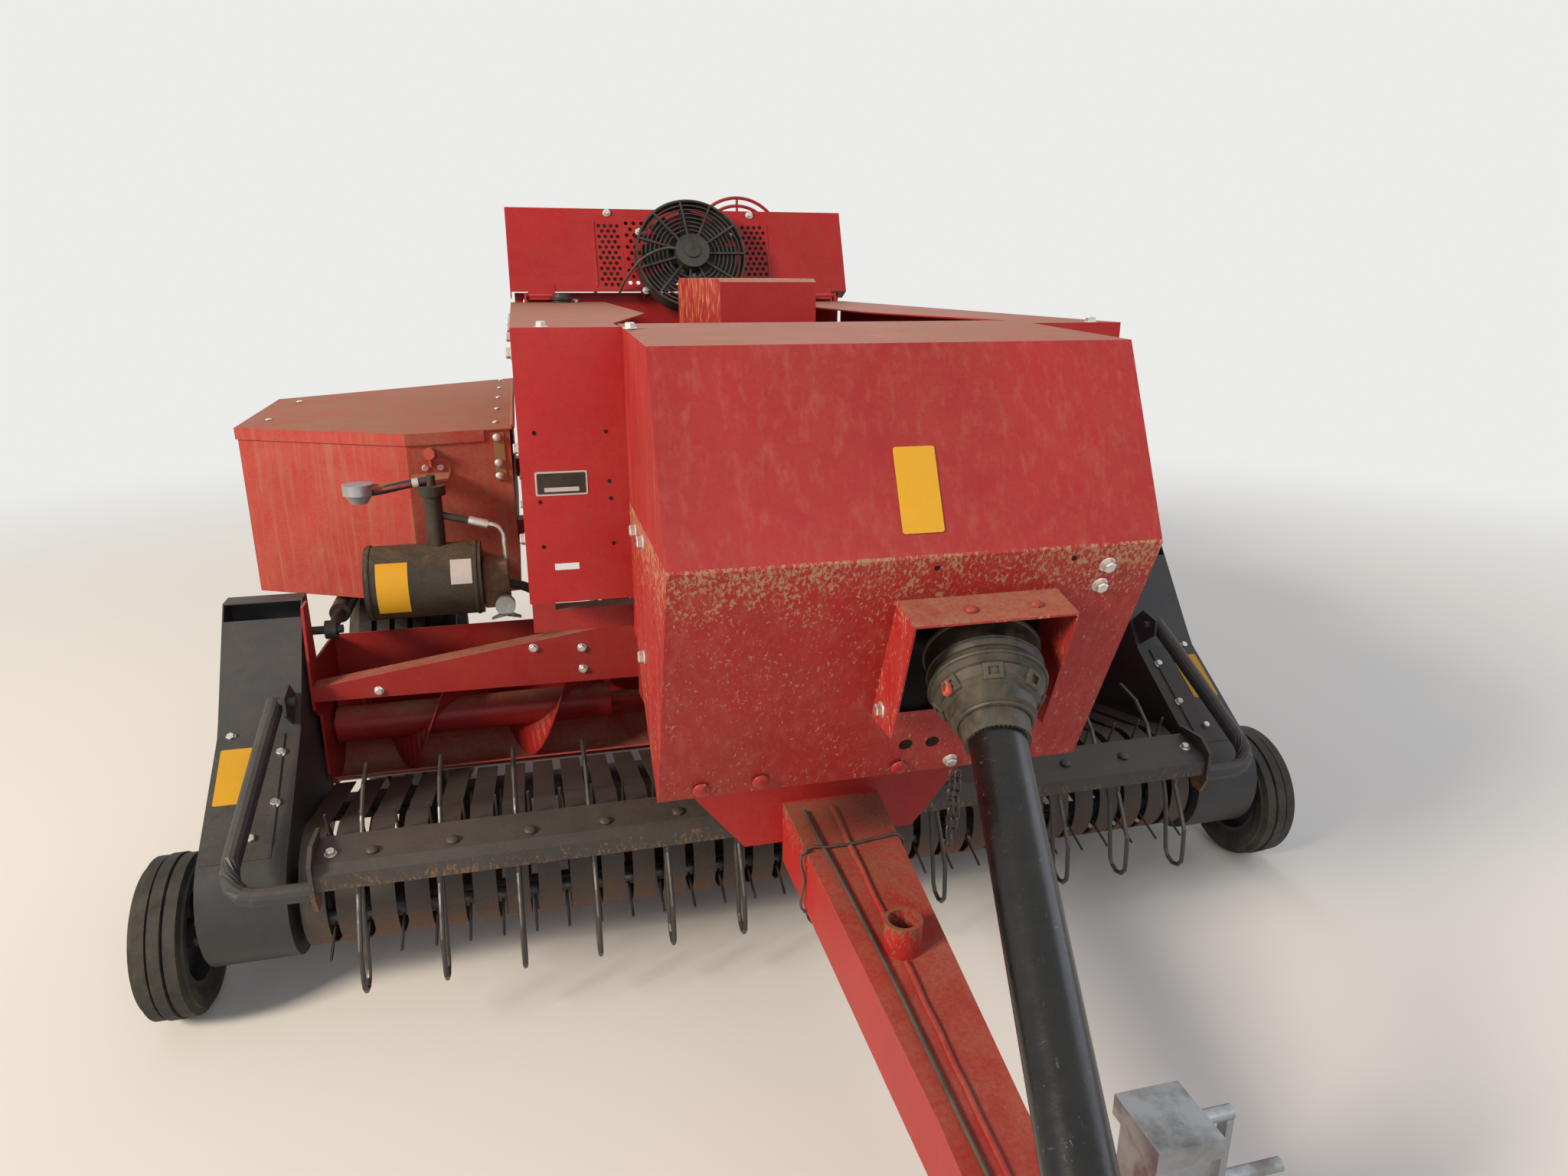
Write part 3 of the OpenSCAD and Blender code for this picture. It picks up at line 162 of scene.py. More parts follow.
def dirtyPaint(name, look):
    # sprayed enamel on sheet steel: an even gloss coat faded in broad clouds, with a rubbed film of dust,
    # more of it on what faces up. A look may ask for streaks (colour, strength, share on the sides away from
    # the weather) and mud (colour, the heights in metres it thins out between, and the thresholds there)
    made, tree = newMaterial(name)
    place = addNode(tree, "ShaderNodeTexCoord").outputs["Object"]
    normal = addNode(tree, "ShaderNodeNewGeometry").outputs["Normal"]
    turned = addNode(tree, "ShaderNodeSeparateXYZ", links={0: normal})
    height = addNode(tree, "ShaderNodeSeparateXYZ", links={0: place}).outputs["Z"]
    clouds = addNode(tree, "ShaderNodeTexNoise",
                     {"Scale": 1000 / look.get("fadeSize", 500), "Detail": 6.0, "Roughness": 0.62,
                      "Distortion": 0.6}, {"Vector": place})
    cloudShare = addNode(tree, "ShaderNodeMapRange", {1: 0.38, 2: 0.66}, {0: clouds.outputs[0]})
    coat = addNode(tree, "ShaderNodeMix",
                   {"data_type": "RGBA", 6: hexColour(look["colour"]), 7: hexColour(look["faded"])},
                   {0: cloudShare.outputs[0]}).outputs[2]
    # film of dust: 110 mm clouds broken up by 6 mm grain
    blotch = addNode(tree, "ShaderNodeTexNoise",
                     {"Scale": 1000 / pattern["dustCloud"], "Detail": 8.0, "Roughness": 0.74,
                      "Distortion": 0.8}, {"Vector": place})
    grain = addNode(tree, "ShaderNodeTexNoise",
                    {"Scale": 1000 / pattern["dustGrain"], "Detail": 4.0, "Roughness": 0.75},
                    {"Vector": place})
    rise = addNode(tree, "ShaderNodeMapRange", {1: 0.5, 2: 0.95, 3: look["dust"], 4: look["dustTop"]},
                   {0: turned.outputs["Z"]}).outputs[0]
    if "shadedSideDust" in look:
        # faces turned to +X, away from the key light, take more of the brown film: partly dust, partly
        # painted shade
        shadedSideShare = addNode(tree, "ShaderNodeMapRange", {1: 0.05, 2: 0.15, 3: 0.0, 4: look["shadedSideDust"]},
                          {0: turned.outputs["X"]})
        rise = addNode(tree, "ShaderNodeMath", {"operation": "ADD"},
                       {0: rise, 1: shadedSideShare.outputs[0]}).outputs[0]
    film = addNode(tree, "ShaderNodeMapRange", {1: 0.34, 2: 0.66, 3: 0.35, 4: 1.0}, {0: blotch.outputs[0]})
    fine = addNode(tree, "ShaderNodeMapRange", {1: 0.36, 2: 0.6, 3: 0.55, 4: 1.0}, {0: grain.outputs[0]})
    filmShare = addNode(tree, "ShaderNodeMath", {"operation": "MULTIPLY"}, {0: film.outputs[0], 1: rise})
    dustShare = addNode(tree, "ShaderNodeMath", {"operation": "MULTIPLY", "use_clamp": True},
                        {0: filmShare.outputs[0], 1: fine.outputs[0]}).outputs[0]
    coat = addNode(tree, "ShaderNodeMix",
                   {"data_type": "RGBA", 7: hexColour(look.get("dustColour", "#A48A70"))},
                   {0: dustShare, 6: coat}).outputs[2]
    rough = addNode(tree, "ShaderNodeMapRange", {3: look["roughness"], 4: 0.9}, {0: dustShare}).outputs[0]
    if "streaks" in look:
        # rain-washed dust: runs 8 mm wide down the upright faces, 120 mm long unless run draws them otherwise
        stretched = addNode(tree, "ShaderNodeMapping", {"Scale": (1.0, 1.0, look.get("run", 0.07))},
                            {"Vector": place})
        runs = addNode(tree, "ShaderNodeTexNoise",
                       {"Scale": 1000 / pattern["run"], "Detail": 5.0, "Roughness": 0.6},
                       {"Vector": stretched.outputs[0]})
        lines = addNode(tree, "ShaderNodeMapRange", {1: 0.5, 2: 0.72, 3: 0.0, 4: look["streaks"][1]},
                        {0: runs.outputs[0]})
        side = addNode(tree, "ShaderNodeMapRange", {1: -0.95, 2: -0.6, 3: 1.0, 4: look["streaks"][2]},
                       {0: turned.outputs["X"]})
        patch = addNode(tree, "ShaderNodeMath", {"operation": "MULTIPLY", "use_clamp": True},
                        {0: lines.outputs[0], 1: side.outputs[0]})
        coat = addNode(tree, "ShaderNodeMix", {"data_type": "RGBA", 7: hexColour(look["streaks"][0])},
                       {0: patch.outputs[0], 6: coat}).outputs[2]
    if "mud" in look:
        # thrown mud: flecks of 3 to 8 mm, longer down than across, thickest where the threshold is lowest
        low, high = look["mud"][1:3]
        drawn = addNode(tree, "ShaderNodeMapping", {"Scale": (1.0, 1.0, 0.5)}, {"Vector": place})
        fleck = addNode(tree, "ShaderNodeTexNoise",
                        {"Scale": 1000 / pattern["fleck"], "Detail": 4.0, "Roughness": 0.68,
                         "Distortion": 0.5}, {"Vector": drawn.outputs[0]})
        wide = addNode(tree, "ShaderNodeTexNoise", {"Scale": 1000 / pattern["mudCloud"], "Detail": 3.0},
                       {"Vector": place})
        edge = addNode(tree, "ShaderNodeMapRange", {1: low, 2: high, 3: look["mud"][3], 4: look["mud"][4]},
                       {0: height})
        spread = addNode(tree, "ShaderNodeMath", {"operation": "MULTIPLY_ADD", 1: 0.22, 2: -0.11},
                         {0: wide.outputs[0]})
        cloud = addNode(tree, "ShaderNodeMath", {"operation": "ADD"},
                        {0: fleck.outputs[0], 1: spread.outputs[0]})
        above = addNode(tree, "ShaderNodeMath", {"operation": "SUBTRACT"},
                        {0: cloud.outputs[0], 1: edge.outputs[0]})
        flecks = addNode(tree, "ShaderNodeMath", {"operation": "MULTIPLY", 1: 16.0, "use_clamp": True},
                         {0: above.outputs[0]})
        under = addNode(tree, "ShaderNodeMath", {"operation": "LESS_THAN", 1: high + 0.004}, {0: height})
        inBand = addNode(tree, "ShaderNodeMath", {"operation": "MULTIPLY"},
                         {0: flecks.outputs[0], 1: under.outputs[0]}).outputs[0]
        coat = addNode(tree, "ShaderNodeMix", {"data_type": "RGBA", 7: hexColour(look["mud"][0])},
                       {0: inBand, 6: coat}).outputs[2]
        rough = addNode(tree, "ShaderNodeMapRange", {4: 0.95}, {0: inBand, 3: rough}).outputs[0]
    bump = addNode(tree, "ShaderNodeBump", {"Strength": 0.14, "Distance": 0.001},
                   {"Height": grain.outputs[0]})
    shader = addNode(tree, "ShaderNodeBsdfPrincipled",
                     {"IOR": 1.45, "Specular IOR Level": look.get("shine", 0.35)},
                     {"Base Color": coat, "Roughness": rough, "Normal": bump.outputs[0]})
    addNode(tree, "ShaderNodeOutputMaterial", links={"Surface": shader.outputs[0]})
    return made


def wornMetal(name, look):
    # bare or plated steel: dull grey metal with oily, earthy or rusty stains in clouds
    made, tree = newMaterial(name)
    place = addNode(tree, "ShaderNodeTexCoord").outputs["Object"]
    clouds = addNode(tree, "ShaderNodeTexNoise",
                     {"Scale": 1000 / look["stainSize"], "Detail": 6.0, "Roughness": 0.65}, {"Vector": place})
    share = addNode(tree, "ShaderNodeMapRange", {1: 0.42, 2: 0.66, 3: 0.0, 4: look["stained"]},
                    {0: clouds.outputs[0]})
    mixed = addNode(tree, "ShaderNodeMix",
                    {"data_type": "RGBA", 6: hexColour(look["colour"]), 7: hexColour(look["stain"])},
                    {0: share.outputs[0]})
    metal = addNode(tree, "ShaderNodeMapRange", {3: 0.9, 4: 0.15}, {0: share.outputs[0]})
    rough = addNode(tree, "ShaderNodeMapRange", {3: look["roughness"], 4: 0.85}, {0: share.outputs[0]})
    grain = addNode(tree, "ShaderNodeTexNoise", {"Scale": 1000 / pattern["metalGrain"], "Detail": 2.0},
                    {"Vector": place})
    bump = addNode(tree, "ShaderNodeBump", {"Strength": 0.15, "Distance": 0.0006},
                   {"Height": grain.outputs[0]})
    shader = addNode(tree, "ShaderNodeBsdfPrincipled", {},
                     {"Base Color": mixed.outputs[2], "Metallic": metal.outputs[0],
                      "Roughness": rough.outputs[0], "Normal": bump.outputs[0]})
    addNode(tree, "ShaderNodeOutputMaterial", links={"Surface": shader.outputs[0]})
    return made


def moulded(name, look):
    # rubber and moulded plastic: one dull colour, grey-brown where dust clings, paler where it is scuffed
    made, tree = newMaterial(name)
    place = addNode(tree, "ShaderNodeTexCoord").outputs["Object"]
    clouds = addNode(tree, "ShaderNodeTexNoise",
                     {"Scale": 1000 / pattern["dirtCloud"], "Detail": 8.0, "Roughness": 0.72,
                      "Distortion": 0.5}, {"Vector": place})
    share = addNode(tree, "ShaderNodeMapRange", {1: 0.36, 2: 0.72, 3: 0.0, 4: look["dusty"]},
                    {0: clouds.outputs[0]})
    coat = addNode(tree, "ShaderNodeMix",
                   {"data_type": "RGBA", 6: hexColour(look["colour"]), 7: hexColour(look["dust"])},
                   {0: share.outputs[0]}).outputs[2]
    if "scuff" in look:
        # scuffs: pale scratches some 3 mm wide, in patches
        scratch = addNode(tree, "ShaderNodeTexNoise",
                          {"Scale": 1000 / pattern["scratch"], "Detail": 9.0, "Roughness": 0.78,
                           "Distortion": 1.2}, {"Vector": place})
        thin = addNode(tree, "ShaderNodeMapRange", {1: 0.61, 2: 0.68, 3: 0.0, 4: 0.6},
                       {0: scratch.outputs[0]})
        coat = addNode(tree, "ShaderNodeMix", {"data_type": "RGBA", 7: hexColour(look["scuff"])},
                       {0: thin.outputs[0], 6: coat}).outputs[2]
    rough = addNode(tree, "ShaderNodeMapRange", {3: look["roughness"], 4: 0.9}, {0: share.outputs[0]})
    grain = addNode(tree, "ShaderNodeTexNoise", {"Scale": 1000 / look["pebble"], "Detail": 2.0},
                    {"Vector": place})
    bump = addNode(tree, "ShaderNodeBump", {"Strength": 0.2, "Distance": 0.0008},
                   {"Height": grain.outputs[0]})
    shader = addNode(tree, "ShaderNodeBsdfPrincipled", {"IOR": 1.48},
                     {"Base Color": coat, "Roughness": rough.outputs[0], "Normal": bump.outputs[0]})
    addNode(tree, "ShaderNodeOutputMaterial", links={"Surface": shader.outputs[0]})
    return made


# red enamel: shields and knotter cover stay glossy and even where they stand upright
redPanel = dirtyPaint("fadedRedEnamelPanel", {
    "colour": "#95060F", "faded": "#A6121B", "dust": 0.10, "dustTop": 0.85, "roughness": 0.38})
# the hood meets the weather and what the drive throws up: washed streaks above, dried flecks below
redHood = dirtyPaint("fadedRedEnamelHood", {
    "colour": "#8E0812", "faded": "#9C141D", "fadeSize": 300, "dust": 0.24, "dustTop": 0.95,
    "roughness": 0.42, "dustColour": "#96624F", "mud": ("#A27A5C", 1.03, 1.142, 0.605, 0.48),
    "streaks": ("#A86A58", 0.26, 0.9)})
# decks and twine boxes carry dust so thick that the red turns to a dull brown pink
redDeck = dirtyPaint("dustyRedEnamelDeck", {
    "colour": "#95060F", "faded": "#A6121B", "dust": 0.16, "dustTop": 1.15, "roughness": 0.5,
    "dustColour": "#97745B"})
# the box's faces turned to +X get extra brown film, partly dust and partly painted shade
redBox = dirtyPaint("dustyRedEnamelBox", {
    "colour": "#9A0C15", "faded": "#AC2026", "dust": 0.4, "dustTop": 1.3, "shadedSideDust": 0.35, "roughness": 0.5,
    "dustColour": "#9A7358", "streaks": ("#93704F", 0.45, 0.9)})
# the gear cover is rubbed and chipped in pale flakes down one side
redCover = dirtyPaint("chippedRedEnamelCover", {
    "colour": "#9E0812", "faded": "#A8121A", "dust": 0.08, "dustTop": 1.2, "roughness": 0.42,
    "streaks": ("#D9A66A", 0.95, 0.0), "run": 0.45})
# frame and drawbar sit in the shade and keep a deeper, shinier red, splashed with earth at the drawbar's root
redFrame = dirtyPaint("redEnamelFrame", {
    "colour": "#9C0610", "faded": "#8E0D15", "dust": 0.12, "dustTop": 0.85, "roughness": 0.36})
redDrawbar = dirtyPaint("redEnamelDrawbar", {
    "colour": "#A50711", "faded": "#920E16", "dust": 0.12, "dustTop": 0.4, "roughness": 0.36,
    "mud": ("#765A42", 0.43, 0.545, 0.74, 0.47)})
# dark grey enamel of the pickup: satin sheets, stripper bands worn to rusty earth, a scuffed wind guard
greySheet = dirtyPaint("darkGreyEnamelSheet", {
    "colour": "#2B2E32", "faded": "#34373B", "dust": 0.14, "dustTop": 0.45, "roughness": 0.4,
    "dustColour": "#6F6152"})
greyWorn = dirtyPaint("wornGreyEnamelBand", {
    "colour": "#303133", "faded": "#3C3C3D", "dust": 0.3, "dustTop": 0.4, "roughness": 0.4,
    "dustColour": "#67523E", "mud": ("#6B4529", 0.14, 0.33, 0.42, 0.66)})
greyBar = dirtyPaint("scuffedGreyEnamelBar", {
    "colour": "#2E2F31", "faded": "#3A3A3B", "dust": 0.2, "dustTop": 0.45, "roughness": 0.36,
    "dustColour": "#6B5B49", "mud": ("#76573A", 0.33, 0.42, 0.36, 0.60)})
# black enamel dulled brown by oily dust; wheel silver gone grey; primer like old rust; brassy zinc strip
blackPaint = dirtyPaint("satinBlackEnamel", {
    "colour": "#101113", "faded": "#1A1A1B", "dust": 0.34, "dustTop": 0.9, "roughness": 0.35,
    "dustColour": "#6B5B45"})
silverRim = dirtyPaint("silverRimPaint", {
    "colour": "#A9A9A6", "faded": "#98968F", "dust": 0.25, "dustTop": 0.6, "roughness": 0.45})
primerBrown = dirtyPaint("rustyRedPrimer", {
    "colour": "#4A1F1C", "faded": "#5C302A", "dust": 0.5, "dustTop": 0.8, "roughness": 0.6})
yellowZinc = dirtyPaint("yellowPassivatedStrip", {
    "colour": "#8C7340", "faded": "#7A6236", "dust": 0.4, "dustTop": 0.8, "roughness": 0.5})
# blank plates: smooth vinyl and foil, flatter and cleaner than the paint round them
blankYellow = dirtyPaint("plainYellowVinylPlate", {
    "colour": "#D39B12", "faded": "#C6941F", "dust": 0.2, "dustTop": 0.3, "roughness": 0.42,
    "dustColour": "#9E7F45"})
blankSilver = dirtyPaint("plainSilverFoilPlate", {
    "colour": "#BFBEBC", "faded": "#AEACA9", "dust": 0.3, "dustTop": 0.4, "roughness": 0.35})
blankBlack = dirtyPaint("blackAnodisedPlate", {
    "colour": "#0B0C0D", "faded": "#141516", "dust": 0.12, "dustTop": 0.3, "roughness": 0.3})
# painted shade for holes: a flat near-black standing in for the dark behind the sheet, with no shine and
# hardly any dust
holeShadeBlack = dirtyPaint("paintedHoleShade", {
    "colour": "#050405", "faded": "#0B0809", "dust": 0.1, "dustTop": 0.1, "roughness": 0.9, "shine": 0.1})
# metals: dull galvanised jack, bright zinc bolts, dark oiled steel of tines, springs and chain
zincPlate = wornMetal("galvanisedZinc", {
    "colour": "#A3A8AD", "stain": "#77736B", "roughness": 0.42, "stainSize": 50, "stained": 0.7})
boltZinc = wornMetal("brightZincBolt", {
    "colour": "#D6D4CE", "stain": "#8A7D6C", "roughness": 0.3, "stainSize": 20, "stained": 0.4})
bareSteel = wornMetal("oiledSpringSteel", {
    "colour": "#4E4D4D", "stain": "#41352B", "roughness": 0.4, "stainSize": 30, "stained": 0.6})
# rubber and plastics: matt tyres, a glossy guard tube with pale scuffs, a dusty cone, satin fan and hoses
tyreRubber = moulded("dustyTyreRubber", {
    "colour": "#161514", "dust": "#5D564A", "dusty": 0.55, "roughness": 0.75, "pebble": 4})
guardPlastic = moulded("glossyGuardPlastic", {
    "colour": "#050506", "dust": "#2E2C2A", "dusty": 0.2, "roughness": 0.24, "pebble": 6, "scuff": "#7A7773"})
conePlastic = moulded("dustyConePlastic", {
    "colour": "#101011", "dust": "#6B604B", "dusty": 0.6, "roughness": 0.4, "pebble": 4})
latchOrange = moulded("orangeRedNylonLatch", {
    "colour": "#B8452F", "dust": "#8C6A50", "dusty": 0.5, "roughness": 0.45, "pebble": 3})
blackPlastic = moulded("blackGlassNylon", {
    "colour": "#0C0D0E", "dust": "#5F574B", "dusty": 0.45, "roughness": 0.5, "pebble": 3})
hoseRubber = moulded("hoseRubberSkin", {
    "colour": "#101010", "dust": "#5E574D", "dusty": 0.35, "roughness": 0.55, "pebble": 2})
cableGrey = moulded("greyCableSheath", {
    "colour": "#3B3632", "dust": "#665B4D", "dusty": 0.6, "roughness": 0.6, "pebble": 2})

finishOf = {
    redPanel: ["side_shield_left", "side_shield_right", "knotter_cover", "knotter_screen"],
    redBox: ["twine_box_left", "twine_box_right", "twine_lid_left", "twine_lid_right"],
    redHood: ["front_hood"],
    redCover: ["gear_cover"],
    redDrawbar: ["drawbar"],
    redFrame: ["main_frame", "shield_frame", "axle_cheeks", "box_arms", "axle", "bale_chamber", "plunger",
               "feed_housing", "auger_core", "auger_flights", "tension_gear", "metering_wheel",
               "bale_chute"],
    greySheet: ["pickup_covers", "guard_arms", "gauge_rim_left", "gauge_rim_right", "flywheel",
                "drive_gearbox"],
    greyWorn: ["strippers"],
    greyBar: ["wind_guard"],
    blackPaint: ["canister", "lift_barrel"],
    silverRim: ["main_rim_left", "main_rim_right"],
    zincPlate: ["jack_tube", "jack_leg", "gauge"],
    bareSteel: ["crank_and_rods", "needle_yoke", "knotter_stack", "pickup_reel", "lift_rod", "guard_rods"],
    tyreRubber: ["main_tyre_left", "main_tyre_right", "gauge_tyre_left", "gauge_tyre_right"],
    guardPlastic: ["pto_guard"],
    blackPlastic: ["fan"],
    hoseRubber: ["hoses"],
}
for finish, names in finishOf.items():
    for name in names:
        nodes[name].data.materials.clear()
        nodes[name].data.materials.append(finish)
left = sorted(set(nodes) - {n for names in finishOf.values() for n in names})
print("finishes given; nodes without one:", left)


def patchFinish(name, finish, test):
    # another finish on those faces of a node whose middle passes the test
    data = nodes[name].data
    data.materials.append(finish)
    for face in data.polygons:
        if test(face.center * 1000, face.normal):
            face.material_index = len(data.materials) - 1


# where the gauge's flat bracket, the pipe under it and the collar above it lie, in mm
gaugeLook = {"pipeTop": 1051, "bracketTop": 1058, "bracketEnd": -858, "collarLow": 1058.5, "collarEnd": -850}


def onBracket(at, out):
    return gaugeLook["pipeTop"] < at.z < gaugeLook["bracketTop"] and at.x > gaugeLook["bracketEnd"]


def onSleeve(at, out):
    onPipe = at.z < gaugeLook["pipeTop"] and at.x > gaugeLook["bracketEnd"]
    return onPipe or at.z > gaugeLook["collarLow"] and at.x > gaugeLook["collarEnd"]


patchFinish("gauge", redBox, onBracket)
patchFinish("gauge", hoseRubber, onSleeve)
# shields and hood carry dust on their decks
for name in ("side_shield_left", "side_shield_right"):
    patchFinish(name, redDeck, lambda at, out: out.z > 0.7)
patchFinish("front_hood", redDeck, lambda at, out: out.z > 0.9)
# the shaft guard's cone is duller and dustier than its tube; root and tip are two places on its axis, in mm
shaft = {"root": (98, -1295, 945), "tip": (-51, -1930, 561), "tubeRadius": 43}
shaftRoot = Vector(shaft["root"])
shaftLine = (Vector(shaft["tip"]) - shaftRoot).normalized()


def onCone(at, out):
    return (at - shaftRoot).cross(shaftLine).length > shaft["tubeRadius"]


patchFinish("pto_guard", conePlastic, onCone)


def mm(*numbers):
    return Vector([n / 1000 for n in numbers])


def addMesh(kind, **settings):
    # a new primitive, alone selected, sizes in metres
    deselect()
    getattr(bpy.ops.mesh, "primitive_" + kind + "_add")(**settings)
    return bpy.context.object


def pick(item, test, mode="FACE"):
    # edit mode with only those faces, edges or points chosen whose middle and direction, on the item's own
    # axes, pass the test
    bpy.context.view_layer.objects.active = item
    bpy.ops.object.mode_set(mode="EDIT")
    bpy.ops.mesh.select_mode(type=mode)
    bpy.ops.mesh.select_all(action="DESELECT")
    bpy.ops.object.mode_set(mode="OBJECT")
    mesh = item.data
    if mode == "FACE":
        for face in mesh.polygons:
            face.select = test(face.center, face.normal)
    elif mode == "EDGE":
        for edge in mesh.edges:
            a, b = (mesh.vertices[i].co for i in edge.vertices)
            edge.select = test((a + b) / 2, (b - a).normalized())
    else:
        for point in mesh.vertices:
            point.select = test(point.co, point.normal)
    bpy.ops.object.mode_set(mode="EDIT")


def leaveEdit():
    bpy.ops.object.mode_set(mode="OBJECT")


def useModifier(item, kind, **settings):
    made = item.modifiers.new(kind.title(), kind)
    for key, value in settings.items():
        setattr(made, key, value)
    bpy.context.view_layer.objects.active = item
    bpy.ops.object.modifier_apply(modifier=made.name)


def everything(middle, out):
    return True


def facingUp(middle, out):
    return out.z > 0.9


def easeEdges(item, test, ease, segments=1):
    # bevels the edges of the faces that pass the test by ease mm
    pick(item, test)
    bpy.ops.mesh.bevel(offset=ease / 1000, segments=segments)
    leaveEdit()


def stretch(item, factors):
    pick(item, everything)
    bpy.ops.transform.resize(value=factors)
    leaveEdit()


def recess(item, test, inset, depth):
    # insets the faces that pass the test and draws them out by depth, three numbers in mm
    pick(item, test)
    bpy.ops.mesh.inset(thickness=inset / 1000)
    bpy.ops.mesh.extrude_region_move(TRANSFORM_OT_translate={"value": mm(*depth)})
    leaveEdit()


def easedBox(size, ease, segments, place=(0, 0, 0)):
    # a block round its place with bevelled edges, in mm
    item = addMesh("cube", size=1, location=mm(*place))
    pick(item, everything)
    bpy.ops.transform.resize(value=mm(*size), center_override=mm(*place))
    bpy.ops.mesh.bevel(offset=ease / 1000, segments=segments)
    leaveEdit()
    return item


def facing(place, normal, up=(0, 0, 1)):
    # the place and turn of a piece whose own top (+Z) looks along normal; places in mm
    z = Vector(normal).normalized()
    x = Vector(up).cross(z)
    if x.length < 1e-3:
        x = Vector((1, 0, 0))
    x.normalize()
    made = Matrix((x, z.cross(x), z)).transposed().to_4x4()
    made.translation = mm(*place)
    return made


def copyTo(master, turns):
    # one copy with its own mesh for each place and turn
    made = []
    for turn in turns:
        item = bpy.data.objects.new(master.name, master.data.copy())
        scene.collection.objects.link(item)
        item.matrix_world = turn
        made.append(item)
    return made


def joined(items):
    # the items as one mesh, in their order
    deselect()
    for item in items:
        item.select_set(True)
    bpy.context.view_layer.objects.active = items[0]
    if len(items) > 1:
        bpy.ops.object.join()
    return bpy.context.view_layer.objects.active


def asPiece(name, item, finish, body):
    deselect()
    item.select_set(True)
    bpy.context.view_layer.objects.active = item
    bpy.ops.object.transform_apply(location=True, rotation=True, scale=True)
    bpy.ops.object.shade_smooth_by_angle(angle=math.radians(35))
    item.name = name
    if finish:
        item.data.materials.clear()
        item.data.materials.append(finish)
    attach(item, body)
    return item


# bolts: a flanged hex head and a round head, each made once and copied to every place; sizes in mm
bolt = {"across": 15.0, "head": 7.5, "flange": 22.0, "flangeHigh": 2.4, "flangeEase": 0.7, "headEase": 1.3,
        "round": 26.0, "squash": 0.5}


def makeHexBolt():
    washer = addMesh("cylinder", vertices=18, radius=bolt["flange"] / 2000, depth=bolt["flangeHigh"] / 1000,
                     location=mm(0, 0, bolt["flangeHigh"] / 2))
    easeEdges(washer, facingUp, bolt["flangeEase"])
    head = addMesh("cylinder", vertices=6, radius=bolt["across"] / 2000 / math.cos(math.radians(30)),
                   depth=bolt["head"] / 1000, location=mm(0, 0, bolt["flangeHigh"] + bolt["head"] / 2))
    easeEdges(head, facingUp, bolt["headEase"])
    return joined([washer, head])


def makeRoundBolt():
    head = addMesh("uv_sphere", segments=18, ring_count=10, radius=bolt["round"] / 2000)
    pick(head, everything)
    bpy.ops.mesh.bisect(plane_co=(0, 0, 0), plane_no=(0, 0, 1), clear_inner=True, use_fill=True)
    bpy.ops.mesh.select_all(action="SELECT")
    bpy.ops.transform.resize(value=(1, 1, bolt["squash"]))
    leaveEdit()
    return head


hexBolt = makeHexBolt()
roundBolt = makeRoundBolt()

# the knotter cover's front: its foot in mm, its slope in degrees, and the way it and its bolts look
coverFace = {"footY": 755, "footZ": 1462, "slope": 68.4}
screenOut, boltOut = (0, -0.93, 0.368), (0, -0.93, 0.37)


def onScreen(u, v, w):
    # a place on the knotter cover's sloping front: across, up the slope and out from it, in mm
    slope = math.radians(coverFace["slope"])
    return (u, coverFace["footY"] + math.cos(slope) * v - math.sin(slope) * w,
            coverFace["footZ"] + math.sin(slope) * v + math.cos(slope) * w)


def onShaft(a, r, h):
    # a place on the drive shaft guard, with the ways out from and along it: angle from its underside in
    # degrees, radius and distance from the root in mm
    side = shaftLine.cross(Vector((0, 0, 1))).normalized()
    upper = side.cross(shaftLine)
    out = side * math.sin(math.radians(a)) - upper * math.cos(math.radians(a))
    return tuple(shaftRoot + shaftLine * h + out * r), tuple(out), tuple(shaftLine)


def bothSides(spots):
    # each spot and its mirror image on the other side of the machine
    return spots + [((-x, y, z), (-a, b, c)) for (x, y, z), (a, b, c) in spots]


def around(count, radius, x, y, z, sign):
    # places on a bolt circle round a wheel's axle, and the way they look
    steps = [math.radians(360 / count * i) for i in range(count)]
    return [((sign * x, y + radius * math.cos(a), z + radius * math.sin(a)), (sign, 0, 0)) for a in steps]


# fan on the cover in mm and degrees: its middle u and v, its mounting lugs (ears), its blades and its cap
fan = {"u": 17, "v": 90, "earReach": 173, "earOut": 32.5, "earAngles": (30, 150, 215, 325),
       "blades": 8, "root": 40, "reach": 148, "wide": 62, "tipWide": 1.35, "sweep": 12, "thick": 2.2,
       "ease": 0.8, "pitch": 26, "bladesOut": 52, "capOut": 104.2}
earTurns = [math.radians(a) for a in fan["earAngles"]]
fanEars = [onScreen(fan["u"] + fan["earReach"] * math.cos(a), fan["v"] + fan["earReach"] * math.sin(a),
                    fan["earOut"]) for a in earTurns]
# bolts on the wind guard: the first one's place and their count, spread over its width less both insets
rods = {"first": -864, "half": 966, "inset": 74, "count": 12}
rodSpacing = 2 * (rods["half"] - rods["inset"]) / rods["count"]
# the ways that faces look: decks, fronts, the hood's lower slope, the twine box's front and pickup covers
up, front, slopeLow = (0, 0, 1), (0, -1, 0), (0, -0.92, -0.39)
boxFront, coverFront = (0.2025, -0.979, 0), (0, -0.539, 0.842)
